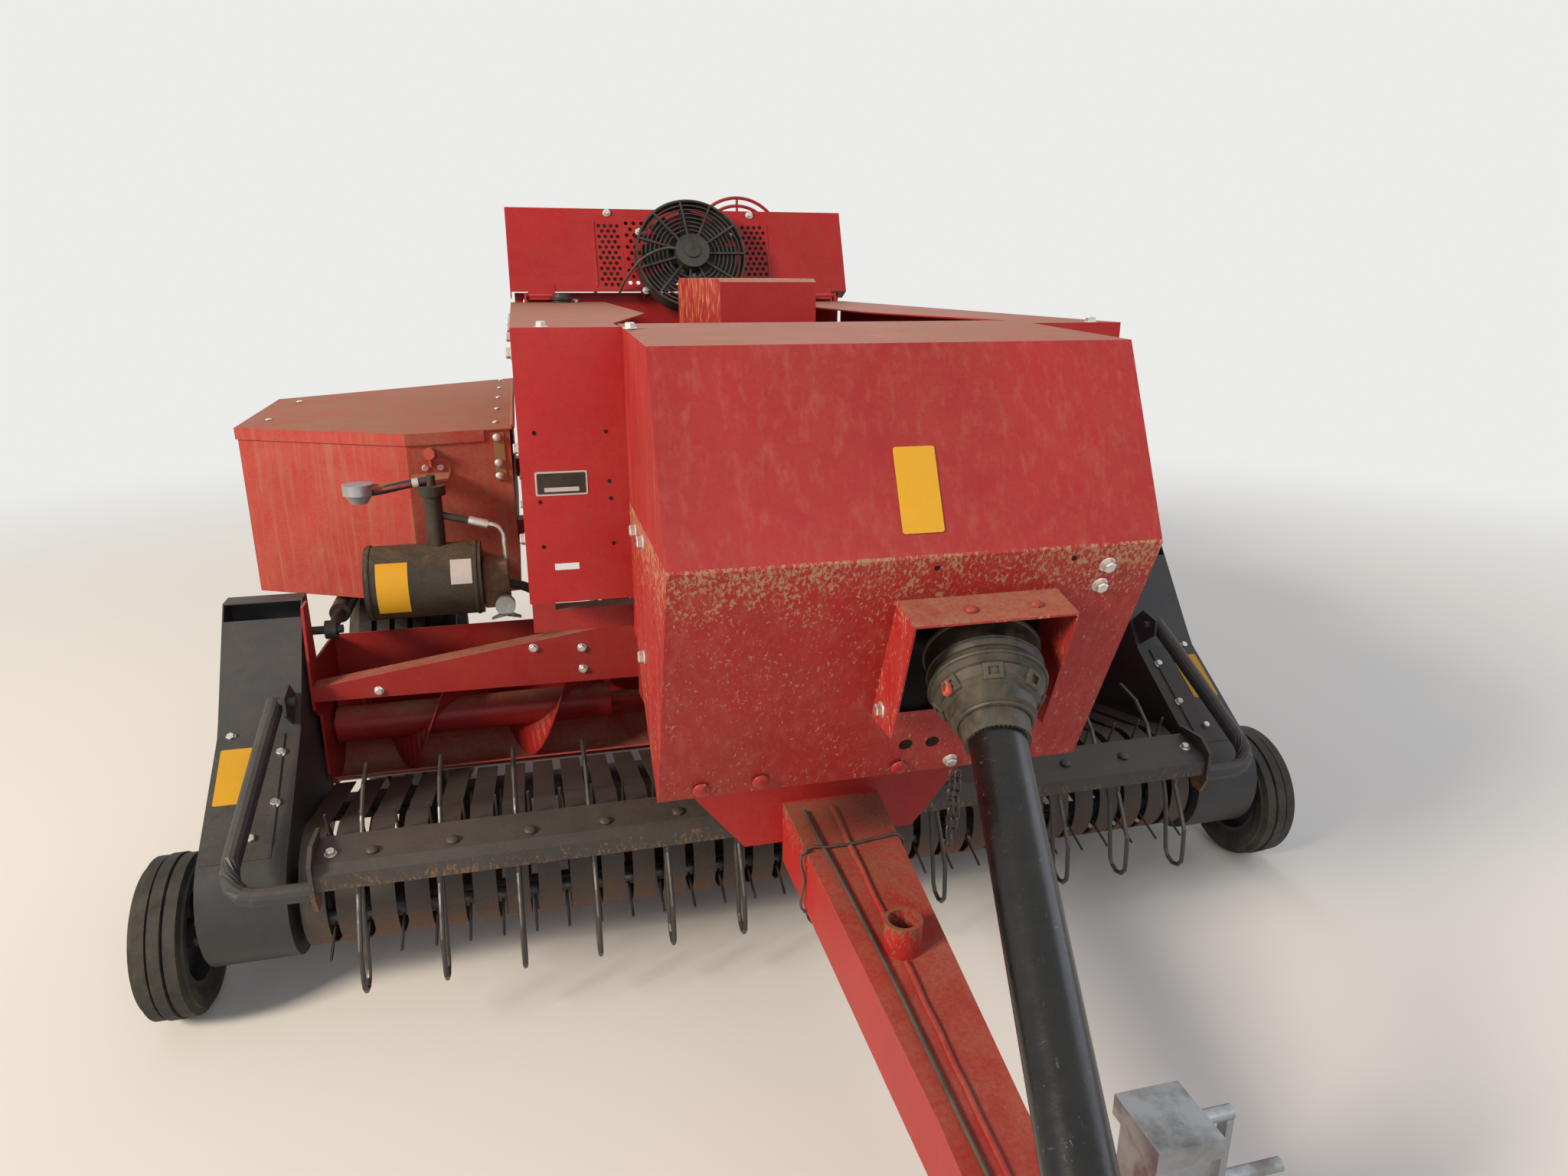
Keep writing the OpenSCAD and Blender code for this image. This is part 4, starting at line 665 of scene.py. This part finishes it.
# each set: master, finish, body, slot, size, and its places with the way each head looks
boltSets = {
    "shieldBolts": (hexBolt, boltZinc, "chassis", "zinc", 1.0, [
        ((-485, -838, 1430.2), up), ((485, -838, 1430.2), up), ((-352, -905, 1430), up),
        ((-488, 765, 1430.2), up), ((-340, 765, 1430.2), up), ((488, 765, 1430.2), up)]
        + bothSides([((-533, -835, z), (-1, 0, 0)) for z in (1390, 1238, 1087)])
        + bothSides([((-533, y, z), (-1, 0, 0)) for y in (-560, -220, 120, 460) for z in (1015, 1400)])),
    "hoodBolts": (hexBolt, boltZinc, "chassis", "zinc", 1.15, [
        ((282, -1283, 1110), slopeLow), ((282, -1268, 1075), slopeLow), ((125, -1124, 740), slopeLow),
        ((-34.5, -1220, 889), (-1, 0, 0))]
        + bothSides([((-360, -941, 1116), (-1, 0, 0)), ((-360, -1040, 1122), (-1, 0, 0)),
                     ((-360, -993, 919), (-1, 0, 0))])),
    "hoodRoundBolts": (roundBolt, redHood, "chassis", "red_paint", 1.1, [
        ((-294, -1125, 742), slopeLow), ((-199, -1126, 745), slopeLow), ((34, -1124, 740), slopeLow)]),
    "tunnelRivets": (roundBolt, redHood, "chassis", "red_paint", 0.7,
                     [((60, -1306, 1065), (0, -0.24, 0.97)), ((160, -1306, 1065), (0, -0.24, 0.97))]),
    "crossPlateBolts": (hexBolt, boltZinc, "chassis", "zinc", 1.0, bothSides([
        ((-537, -180, 654), front), ((-423, -180, 645), front), ((-423, -180, 590), front),
        ((-893, -180, 580), front)])),
    "boxBolts": (hexBolt, boltZinc, "chassis", "zinc", 1.0, [
        ((-756, -15.5, 1071), boxFront), ((-722, -8.5, 1070), boxFront)]),
    "stripBolts": (roundBolt, boltZinc, "chassis", "zinc", 0.85,
                   [((-587, 16.5, z), boxFront) for z in (1132, 1070, 1038)]),
    "knotterBolts": (hexBolt, boltZinc, "knotter_hood", "zinc", 1.1, [
        ((-225, 847, 1695), boltOut), ((229, 847, 1695), boltOut)] + [(place, boltOut) for place in fanEars]),
    "coverBolts": (hexBolt, boltZinc, "pickup", "zinc", 1.0, bothSides([
        ((-1188, -285.5, 544), coverFront), ((-1083, -330, 516.5), coverFront),
        ((-1083, -434, 450), coverFront), ((-1120, -500, 408), coverFront)])),
    "guardRoundBolts": (roundBolt, greyWorn, "windguard", "dark_grey_paint", 0.95, [
        ((rods["first"] + rodSpacing * i, -668, 443.2), (0, -0.14, 0.99)) for i in range(rods["count"])]),
    "guardEndBolts": (hexBolt, boltZinc, "windguard", "zinc", 1.1,
                      bothSides([((-940, -662, 444), (0, -0.14, 0.99))])),
    "beamBolts": (hexBolt, boltZinc, "chassis", "zinc", 1.4,
                  bothSides([((-314.5, y, 940), (-1, 0, 0)) for y in (1580, 1820, 2030)])),
    "screwBolts": (hexBolt, boltZinc, "chassis", "zinc", 1.3,
                   [((x, 1690, 1254.3), up) for x in (-285, -115, 115, 285)]),
}
wheel = {"x": 885.5, "y": 510, "z": 350, "nuts": 6, "circle": 84}
gaugeWheel = {"x": 1304.2, "y": -440, "z": 172, "nuts": 4, "circle": 66}
lidScrews = [(590, y) for y in (120, 400, 680, 960, 1230)] + [(1150, 300), (1150, 700)]
for side, sign in (("left", 1), ("right", -1)):
    boltSets["lidScrews" + side.title()] = (roundBolt, boltZinc, "lid_" + side, "zinc", 0.6, [
        ((sign * x, y, 1153.4), up) for x, y in lidScrews])
    boltSets["wheelNuts" + side.title()] = (hexBolt, boltZinc, "wheel_" + side, "zinc", 1.3, around(
        wheel["nuts"], wheel["circle"], wheel["x"], wheel["y"], wheel["z"], sign))
    boltSets["gaugeNuts" + side.title()] = (hexBolt, boltZinc, "gauge_wheel_" + side, "zinc", 0.9, around(
        gaugeWheel["nuts"], gaugeWheel["circle"], gaugeWheel["x"], gaugeWheel["y"], gaugeWheel["z"], sign))
for name, (master, finish, body, slotName, size, spots) in boltSets.items():
    heads = copyTo(master, [facing(place, out) @ Matrix.Scale(size, 4) for place, out in spots])
    asPiece(name, joined(heads), finish, body)
for master in (hexBolt, roundBolt):
    bpy.data.objects.remove(master)
print("bolts placed:", len(boltSets), "sets")


def roundedPlate(width, height, thick, corner, turn):
    # a cut plate lying on its place with rounded corners; sizes in mm
    item = addMesh("plane", size=1)
    pick(item, everything)
    bpy.ops.transform.resize(value=(width / 1000, height / 1000, 1))
    bpy.ops.mesh.bevel(offset=corner / 1000, segments=4, affect="VERTICES")
    bpy.ops.mesh.extrude_region_move(TRANSFORM_OT_translate={"value": (0, 0, thick / 1000)})
    bpy.ops.mesh.select_all(action="SELECT")
    bpy.ops.mesh.normals_make_consistent(inside=False)
    leaveEdit()
    item.matrix_world = turn
    return item


# plain plates, corner strip and bracket: place, way it looks, width, height, thickness, corner, finish, body
plates = {
    "hoodPlate": ((-5, -1257.2, 1229), (0, -0.903, 0.43), 61, 122, 0.6, 4, blankYellow, "chassis"),
    "coverPlateRight": ((-1167, -373, 491.4), coverFront, 72, 136, 0.7, 4, blankYellow, "pickup"),
    "coverPlateLeft": ((1167, -373, 491.4), coverFront, 72, 136, 0.7, 4, blankYellow, "pickup"),
    "ratingPlateEdge": ((-469, -860.2, 1183), front, 84, 40, 0.9, 3, blankSilver, "chassis"),
    "ratingPlateField": ((-469, -861.1, 1183), front, 78, 34, 0.4, 2, blankBlack, "chassis"),
    "ratingPlateStrip": ((-469, -861.4, 1173), front, 56, 7, 0.4, 1, blankSilver, "chassis"),
    "boxCornerStrip": ((-583, 21, 1085), boxFront, 24, 118, 3, 2, yellowZinc, "chassis"),
    "armBracket": ((-738, -12, 1064), boxFront, 78, 56, 4, 16, redBox, "chassis"),
}
for name, (place, out, width, height, thick, corner, finish, body) in plates.items():
    asPiece(name, roundedPlate(width, height, thick, corner, facing(place, out)), finish, body)
# the lapped sheets on the pickup covers
lapSheet = {"x": 1146, "y": -414, "z": 462, "width": 134, "height": 300, "thick": 2.2, "corner": 2}
for name, sign in (("lapPlateRight", -1), ("lapPlateLeft", 1)):
    lap = roundedPlate(lapSheet["width"], lapSheet["height"], lapSheet["thick"], lapSheet["corner"],
                       facing((sign * lapSheet["x"], lapSheet["y"], lapSheet["z"]), coverFront))
    asPiece(name, lap, greySheet, "pickup")
print("plates placed:", len(plates) + 2)

# perforations beside the fan and holes in shields and hood: no hole is cut, one sunk disc in painted shade
# copied to every place
hole = addMesh("circle", vertices=8, radius=0.5, fill_type="NGON")
pick(hole, everything)
bpy.ops.mesh.extrude_region_move(TRANSFORM_OT_translate={"value": (0, 0, 0.0004)})
bpy.ops.mesh.inset(thickness=0.04)
bpy.ops.mesh.extrude_region_move(TRANSFORM_OT_translate={"value": (0, 0, -0.0003)})
leaveEdit()
perforation = {"pitch": 19, "rowPitch": 17, "rows": 12, "columns": 14, "low": 22, "shift": 3, "size": 12,
               "bands": ((-262, -192), (194, 272))}
grid = []
for row in range(perforation["rows"]):
    for column in range(-perforation["columns"], perforation["columns"] + 1):
        u = perforation["pitch"] * (column + row % 2 / 2) + perforation["shift"]
        if any(low < u < high for low, high in perforation["bands"]):
            place = onScreen(u, perforation["low"] + perforation["rowPitch"] * row, 0.1)
            grid.append((facing(place, screenOut), perforation["size"]))
holeSets = {
    "screenHoles": ("knotter_hood", grid),
    "shieldHoles": ("chassis", [(facing((x, -860.1, z), front), 7) for x, z in (
        (-507, 1266), (-393, 1265), (-391, 1183), (-390, 1154), (-505, 1153), (-504, 1077), (-389, 1077))]),
    "hoodHoles": ("chassis",
                  [(facing(place, slopeLow), 9) for place in ((14, -1290, 1125), (223, -1290, 1125))]),
    "hoodSlots": ("chassis", [(facing((x, -1144.5, 787), slopeLow), 24) for x in (37, 83)]),
}
for name, (body, places) in holeSets.items():
    dots = copyTo(hole, [turn @ Matrix.Diagonal((size / 1000, size / 1000, 1, 1)) for turn, size in places])
    asPiece(name, joined(dots), holeShadeBlack, body)
bpy.data.objects.remove(hole)

# apron under the knotter cover's foot and behind the deck: a sheet with a folded lower lip that closes the
# view to the rear; it hangs far enough back for the fan to swing past when the cover opens
apronSheet = {"y": 808, "low": 1365, "high": 1457, "width": 1040, "lip": (0, 8, -26), "thick": 3, "ease": 0.8}
apronMiddle = mm(0, apronSheet["y"], (apronSheet["low"] + apronSheet["high"]) / 2)
apron = addMesh("plane", size=1, location=apronMiddle, rotation=(math.pi / 2, 0, 0))
bpy.ops.object.transform_apply(location=True, rotation=True, scale=True)
pick(apron, everything)
apronSize = (apronSheet["width"] / 1000, 1, (apronSheet["high"] - apronSheet["low"]) / 1000)
bpy.ops.transform.resize(value=apronSize, center_override=apronMiddle)
leaveEdit()
pick(apron, lambda middle, out: middle.z < (apronSheet["low"] + 1) / 1000, "EDGE")
bpy.ops.mesh.extrude_region_move(TRANSFORM_OT_translate={"value": mm(*apronSheet["lip"])})
leaveEdit()
useModifier(apron, "SOLIDIFY", thickness=apronSheet["thick"] / 1000, offset=1)
useModifier(apron, "BEVEL", width=apronSheet["ease"] / 1000, segments=1)
asPiece("coverApron", apron, redDeck, "chassis")
# narrow lapped strips beside the screen
screenLap = {"size": (7, 206, 3), "v": 118, "out": 1.2}
for name, x in (("screenLapRight", -270), ("screenLapLeft", 280)):
    lap = easedBox(screenLap["size"], 1, 2)
    lap.matrix_world = facing(onScreen(x, screenLap["v"], screenLap["out"]), screenOut)
    asPiece(name, lap, redPanel, "knotter_hood")
print("holes, apron and laps placed")


def makeTube(name, points, diameter, finish, body, closed=False, sides=6):
    # a bent tube, wire or cable through its points in mm
    data = bpy.data.curves.new(name, "CURVE")
    data.dimensions = "3D"
    data.bevel_depth = diameter / 2000
    data.bevel_resolution = sides // 2 - 1
    data.resolution_u = 6
    data.use_fill_caps = True
    line = data.splines.new("BEZIER")
    line.bezier_points.add(len(points) - 1)
    for knot, place in zip(line.bezier_points, points):
        knot.co = mm(*place)
        knot.handle_left_type = knot.handle_right_type = "AUTO"
    line.use_cyclic_u = closed
    item = bpy.data.objects.new(name, data)
    scene.collection.objects.link(item)
    data.materials.append(finish)
    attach(item, body)
    return item


# canister: strap seams, blank plates bent round it, end block with its knob, pipe, gauge hose and sleeve
can = {"y": -140, "z": 830, "r": 85, "plateGap": 0.3, "plateThick": 0.5,
       "seams": (-884, -652), "seamRadius": 84.8, "seamWire": 3, "seamWide": 1.6}


def bentPlate(name, x, width, low, high, finish):
    # a thin plate wrapped on the canister between two heights of its front
    turns = [math.degrees(math.asin((z - can["z"]) / can["r"])) for z in (low, high)]
    middle = mm(x, can["y"], can["z"])
    item = addMesh("cylinder", vertices=120, radius=(can["r"] + can["plateGap"]) / 1000, depth=width / 1000,
                   end_fill_type="NOTHING", location=middle, rotation=(0, math.pi / 2, 0))
    bpy.ops.object.transform_apply(location=True, rotation=True, scale=True)

    def outside(place, out):
        turn = math.degrees(math.atan2(place.z - middle.z, -(place.y - middle.y)))
        return not turns[0] <= turn <= turns[1]
    pick(item, outside)
    bpy.ops.mesh.delete(type="FACE")
    leaveEdit()
    useModifier(item, "SOLIDIFY", thickness=can["plateThick"] / 1000, offset=1)
    return asPiece(name, item, finish, "chassis")


bentPlate("canisterPlateYellow", -832, 68, 776, 889, blankYellow)
bentPlate("canisterPlateSilver", -683, 46, 838, 890, blankSilver)
for i, x in enumerate(can["seams"]):
    strap = addMesh("torus", location=mm(x, can["y"], can["z"]), rotation=(0, math.pi / 2, 0),
                    major_radius=can["seamRadius"] / 1000, minor_radius=can["seamWire"] / 1000,
                    major_segments=64, minor_segments=8)
    stretch(strap, (can["seamWide"], 1, 1))
    asPiece("canisterSeam" + str(i), strap, blackPaint, "chassis")
endBlock = {"place": (-609, -140, 815), "size": (60, 76, 108), "ease": 6}
block = easedBox(endBlock["size"], endBlock["ease"], 3, endBlock["place"])
asPiece("canisterEndBlock", block, primerBrown, "chassis")
# filler knob: a short round bar; the eased faces of its underside stand out as a curved lip, and a narrow
# tongue of its top is drawn back
filler = {"place": (-592, -203, 775), "radius": 22.5, "long": 22, "ease": 3, "inset": 9, "drawn": (0, 20, 0)}
knob = addMesh("cylinder", vertices=32, radius=filler["radius"] / 1000, depth=filler["long"] / 1000,
               location=mm(*filler["place"]), rotation=(math.pi / 2, 0, 0))
easeEdges(knob, lambda middle, out: out.y < -0.9, filler["ease"], 2)
recess(knob, lambda middle, out: out.y > 0.9, filler["inset"], filler["drawn"])
asPiece("fillerKnob", knob, zincPlate, "chassis")
makeTube("returnPipe", [(-585, -140, 868), (-585, -141, 905), (-588, -142, 938), (-604, -142, 952),
                        (-622, -142, 956)], 12, boltZinc, "chassis")


def addCollar(name, place, radius, long, turn, ease, segments, finish):
    # a short collar on a hose in mm, turned about Y in degrees, its bevel on its two flanks
    collar = addMesh("cylinder", vertices=20, radius=radius / 1000, depth=long / 1000, location=mm(*place),
                     rotation=(0, math.radians(turn), 0))
    easeEdges(collar, lambda middle, out: abs(out.x) > 0.9, ease, segments)
    asPiece(name, collar, finish, "chassis")


addCollar("hoseCrimp", (-640, -142, 961), 10.5, 44, -74, 2, 2, boltZinc)
makeTube("returnSleeve", [(-648, -142, 964), (-676, -141, 970), (-706, -140, 978), (-728, -140, 984)], 17,
         hoseRubber, "chassis")
makeTube("gaugeSleeve", [(-745, -140, 1063), (-790, -142, 1056), (-840, -146, 1047), (-866, -149, 1044)], 19,
         hoseRubber, "chassis")
addCollar("hoseTag", (-768, -141, 1059.5), 10.2, 14, 82, 1, 1, blankSilver)
# the pipe stub on the twine box, with a short branch drawn down from its underside
stubPipe = {"place": (-741, -22, 1105), "radius": 13.5, "long": 22, "turn": -11.7, "inset": 3,
            "drawn": (0, 0, -18)}
stub = addMesh("cylinder", vertices=28, radius=stubPipe["radius"] / 1000, depth=stubPipe["long"] / 1000,
               location=mm(*stubPipe["place"]), rotation=(math.pi / 2, 0, math.radians(stubPipe["turn"])))
recess(stub, lambda middle, out: out.y < -0.9, stubPipe["inset"], stubPipe["drawn"])
asPiece("pipeStub", stub, redBox, "chassis")
print("canister fittings placed")

# pressure hose from the end block to under the frame rail, a stiff hose held at both ends
hose = {"thick": 22, "path": [(-599, -140, 810), (-560, -140, 803), (-505, -128, 776), (-440, -108, 768),
                              (-385, -88, 792), (-345, -80, 828), (-301, -80, 840)]}
pressureHose = makeTube("pressureHose", hose["path"], hose["thick"], hoseRubber, "chassis",
                        sides=12)
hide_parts("hoses")

# drawbar's tongue: its top line as places (y, z), its width at the root and along the front; the weld on it
tongue = {"top": [(-866, 550), (-1560, 450), (-2000, 390), (-2520, 390)], "rootWidth": 190, "width": 122}
seam = {"x": -7, "thick": 11, "wave": 0.8, "proud": 0.8}


def tongueTop(y):
    for (a, high), (b, low) in zip(tongue["top"], tongue["top"][1:]):
        if y >= b:
            return high + (low - high) * (y - a) / (b - a)
    return tongue["top"][-1][1]


def halfWidth(y):
    root, end = tongue["top"][0][0], tongue["top"][1][0]
    share = min((y - root) / (end - root), 1)
    return (tongue["rootWidth"] + (tongue["width"] - tongue["rootWidth"]) * share) / 2


for name, (first, last) in {"drawbarSeamRoot": (-900, -1222), "drawbarSeam": (-1292, -1545),
                            "drawbarSeamFront": (-1545, -2490)}.items():
    steps = [first + (last - first) * i / 9 for i in range(10)]
    makeTube(name, [(seam["x"] + seam["wave"] * math.sin(i * 1.7), y, tongueTop(y) + seam["proud"])
                    for i, y in enumerate(steps)], seam["thick"], redDrawbar, "chassis")
# cable along the drawbar's top into a grommet, and a wire tied round both at the root
cable = {"thick": 7, "path": [(-62, -905, 548), (-60, -960, 541), (-52, -1080, 524), (-45, -1200, 506),
                              (-40, -1300, 492), (-36, -1420, 474), (-33, -1560, 454), (-30, -1700, 435),
                              (-28, -1850, 414), (-27, -1960, 400), (-27, -2000, 394), (-27, -2022, 386)]}
lightCable = makeTube("lightCable", cable["path"], cable["thick"], cableGrey, "chassis")
eye = {"place": (-27, -2018, 391), "radius": 7, "thick": 3.5, "high": 1.3}
grommet = addMesh("torus", location=mm(*eye["place"]), major_radius=eye["radius"] / 1000,
                  minor_radius=eye["thick"] / 1000, major_segments=24, minor_segments=10)
stretch(grommet, (1, 1, eye["high"]))
asPiece("cableGrommet", grommet, hoseRubber, "chassis")
tie = {"y": -1010, "clear": 3, "wire": 5, "knotWire": 4.5}
tieY = tie["y"]
half, top = halfWidth(tieY) + tie["clear"], tongueTop(tieY)
loop = [(-half, tieY, top + 2), (-half / 2, tieY - 4, top + 6), (0, tieY - 2, top + 5),
        (half / 2, tieY + 4, top + 5), (half, tieY + 6, top + 2),
        (half + 1, tieY + 6, top - 60), (half, tieY + 4, top - 124), (0, tieY, top - 130),
        (-half, tieY, top - 124), (-half - 1, tieY, top - 60)]
makeTube("tieWire", loop, tie["wire"], cableGrey, "chassis", closed=True)
knot = [(-half - 2, tieY, top - 6), (-half - 8, tieY - 4, top - 2), (-half - 4, tieY - 8, top + 3),
        (-half + 3, tieY - 5, top + 5), (-half - 6, tieY - 2, top - 4)]
makeTube("tieWireKnot", knot, tie["knotWire"], cableGrey, "chassis")
print("drawbar cable and seam placed")

# safety chain: one link modelled, hung alternately turned in two strands (x, links, top) from its bolt
link = {"long": 24, "wire": 3.6, "bend": 6.2, "pitch": 17.5, "y": -1136,
        "strands": ((126, 8, 728), (136, 6, 726))}
master = addMesh("torus", major_radius=link["bend"] / 1000, minor_radius=link["wire"] / 2000,
                 major_segments=16, minor_segments=6)
pick(master, lambda middle, out: middle.y > 0.0001)
bpy.ops.transform.translate(value=mm(0, link["long"] - 2 * link["bend"], 0))
leaveEdit()
turns = []
for x, count, start in link["strands"]:
    for i in range(count):
        hang = Matrix.Rotation(math.pi / 2, 4, "X") @ Matrix.Rotation(math.pi / 2 * (i % 2) + 0.3, 4, "Y")
        place = mm(x + 1.5 * math.sin(i * 2.1), link["y"], start - link["pitch"] * (i + 1))
        turns.append(Matrix.Translation(place) @ hang)
chain = joined(copyTo(master, turns))
bpy.data.objects.remove(master)
asPiece("safetyChain", chain, bareSteel, "chassis")
print("chain hung")

# fan blades behind the grille: a pitched strip, wider and swept at its tip, copied round the hub
blade = addMesh("grid", x_subdivisions=6, y_subdivisions=4, size=1)
pick(blade, everything)
bpy.ops.transform.resize(value=((fan["reach"] - fan["root"]) / 1000, fan["wide"] / 1000, 1))
bpy.ops.transform.translate(value=((fan["reach"] + fan["root"]) / 2000, 0, 0))
leaveEdit()
pick(blade, lambda middle, out: middle.x > 0.1, "VERT")
bpy.ops.transform.resize(value=(1, fan["tipWide"], 1))
bpy.ops.transform.translate(value=mm(0, -fan["sweep"], 0))
leaveEdit()
useModifier(blade, "SOLIDIFY", thickness=fan["thick"] / 1000, offset=0)
useModifier(blade, "BEVEL", width=fan["ease"] / 1000, segments=1)
bladeFrame = facing(onScreen(fan["u"], fan["v"], fan["bladesOut"]), screenOut)
pitched = Matrix.Rotation(math.radians(fan["pitch"]), 4, "X")
bladeTurns = [Matrix.Rotation(math.radians(360 / fan["blades"] * i), 4, "Z") for i in range(fan["blades"])]
blades = joined(copyTo(blade, [bladeFrame @ turn @ pitched for turn in bladeTurns]))
bpy.data.objects.remove(blade)
asPiece("fanBlades", blades, blackPlastic, "knotter_hood")
# hub cap: a flat boss in a ring, with short ribs between them
cap = {"radius": 24.5, "thick": 10, "ease": 2, "ring": 50.5, "ringThick": 2, "ribs": 12, "rib": (24, 3.5, 6),
       "ribPlace": (37, 0, 2), "ribEase": 0.8}
boss = addMesh("cylinder", vertices=40, radius=cap["radius"] / 1000, depth=cap["thick"] / 1000,
               location=mm(0, 0, cap["thick"] / 2))
easeEdges(boss, facingUp, cap["ease"], 2)
rib = easedBox(cap["rib"], cap["ribEase"], 1, cap["ribPlace"])
ribs = copyTo(rib, [Matrix.Rotation(math.radians(360 / cap["ribs"] * i), 4, "Z") for i in range(cap["ribs"])])
bpy.data.objects.remove(rib)
rimRing = addMesh("torus", major_radius=cap["ring"] / 1000, minor_radius=cap["ringThick"] / 1000,
                  major_segments=48, minor_segments=6)
hubCap = joined([boss, rimRing] + ribs)
hubCap.matrix_world = facing(onScreen(fan["u"], fan["v"], fan["capOut"]), screenOut)
asPiece("fanHubCap", hubCap, blackPlastic, "knotter_hood")
# the fan's lead hangs from the hub over the grille to the cover
lead = {"thick": 8, "path": [onScreen(-30, 96, 100), onScreen(-62, 96, 102), onScreen(-105, 84, 98),
                             onScreen(-145, 62, 84), onScreen(-175, 34, 56), onScreen(-196, 10, 22),
                             onScreen(-204, -4, 2)]}
fanLead = makeTube("fanLead", lead["path"], lead["thick"], cableGrey, "knotter_hood")
# rubber bumpers under the cover's foot, each with a sunk top
bumperSize = {"y": 716, "z": 1438, "radius": 27.5, "high": 16, "ease": 3, "inset": 12, "sunk": 4}
for name, x in (("deckBumperRight", -384), ("deckBumperLeft", 384)):
    bumper = addMesh("cylinder", vertices=36, radius=bumperSize["radius"] / 1000,
                     depth=bumperSize["high"] / 1000, location=mm(x, bumperSize["y"], bumperSize["z"]))
    pick(bumper, facingUp)
    bpy.ops.mesh.bevel(offset=bumperSize["ease"] / 1000, segments=3)
    bpy.ops.mesh.inset(thickness=bumperSize["inset"] / 1000)
    bpy.ops.mesh.extrude_region_move(TRANSFORM_OT_translate={"value": mm(0, 0, -bumperSize["sunk"])})
    leaveEdit()
    asPiece(name, bumper, hoseRubber, "chassis")
print("fan dressed")

# drive shaft guard: bead and collar rings (radius, distance along, thickness) and windows round the cone
cone = {"rings": [(84.0, -58, 4.0), (83.6, -22, 2.6), (83.8, 4, 3.4), (52, 68, 4.0)], "windows": 7,
        "firstWindow": 20, "windowStep": 51.4, "windowRadius": 71.5, "windowAlong": 28, "taper": 0.61,
        "windowSize": (28, 24, 9), "windowEase": 1.5, "frame": 5, "sunk": 7}
made = []
for radius, along, thick in cone["rings"]:
    ring = addMesh("torus", major_radius=radius / 1000, minor_radius=thick / 1000, major_segments=56,
                   minor_segments=8)
    ring.matrix_world = facing(onShaft(0, 0, along)[0], tuple(shaftLine))
    ring.data.materials.append(conePlastic)
    made.append(ring)
window = easedBox(cone["windowSize"], cone["windowEase"], 1)
recess(window, lambda middle, out: out.z > 0.9 and abs(middle.x) < 0.002, cone["frame"],
       (0, 0, -cone["sunk"]))
window.data.materials.append(conePlastic)
# each window's sunk floor is painted shade, standing in for the dark inside the cage
window.data.materials.append(holeShadeBlack)
for face in window.data.polygons:
    face.material_index = 1 if face.normal.z > 0.9 and face.center.z < 0.001 else 0
turns = []
for i in range(cone["windows"]):
    centre, out, along = onShaft(cone["firstWindow"] + cone["windowStep"] * i, cone["windowRadius"],
                                 cone["windowAlong"])
    turns.append(facing(centre, Vector(out) + Vector(along) * cone["taper"], along))
made += copyTo(window, turns)
bpy.data.objects.remove(window)
asPiece("coneCage", joined(made[::-1]), None, "chassis")
# its latch, a small block with a sunk top
latchSize = {"turn": 118, "radius": 75, "along": 30, "size": (14, 24, 10), "ease": 3, "inset": 3, "sunk": 4}
centre, out, along = onShaft(latchSize["turn"], latchSize["radius"], latchSize["along"])
latch = easedBox(latchSize["size"], latchSize["ease"], 2)
recess(latch, facingUp, latchSize["inset"], (0, 0, -latchSize["sunk"]))
latch.matrix_world = facing(centre, out, along)
asPiece("coneLatch", latch, latchOrange, "chassis")
print("shaft guard dressed")

# coil springs on the two density screws
coil = {"x": 200, "y": 1690, "low": 1259, "high": 1362, "r": 33, "turns": 6, "wire": 7}
for name, sign in (("densitySpringRight", -1), ("densitySpringLeft", 1)):
    steps = range(coil["turns"] * 8 + 1)
    rise = (coil["high"] - coil["low"]) / steps[-1]
    helix = [(sign * coil["x"] + coil["r"] * math.cos(math.pi / 4 * i),
              coil["y"] + coil["r"] * math.sin(math.pi / 4 * i), coil["low"] + rise * i) for i in steps]
    makeTube(name, helix, coil["wire"], bareSteel, "chassis")
print("springs placed")
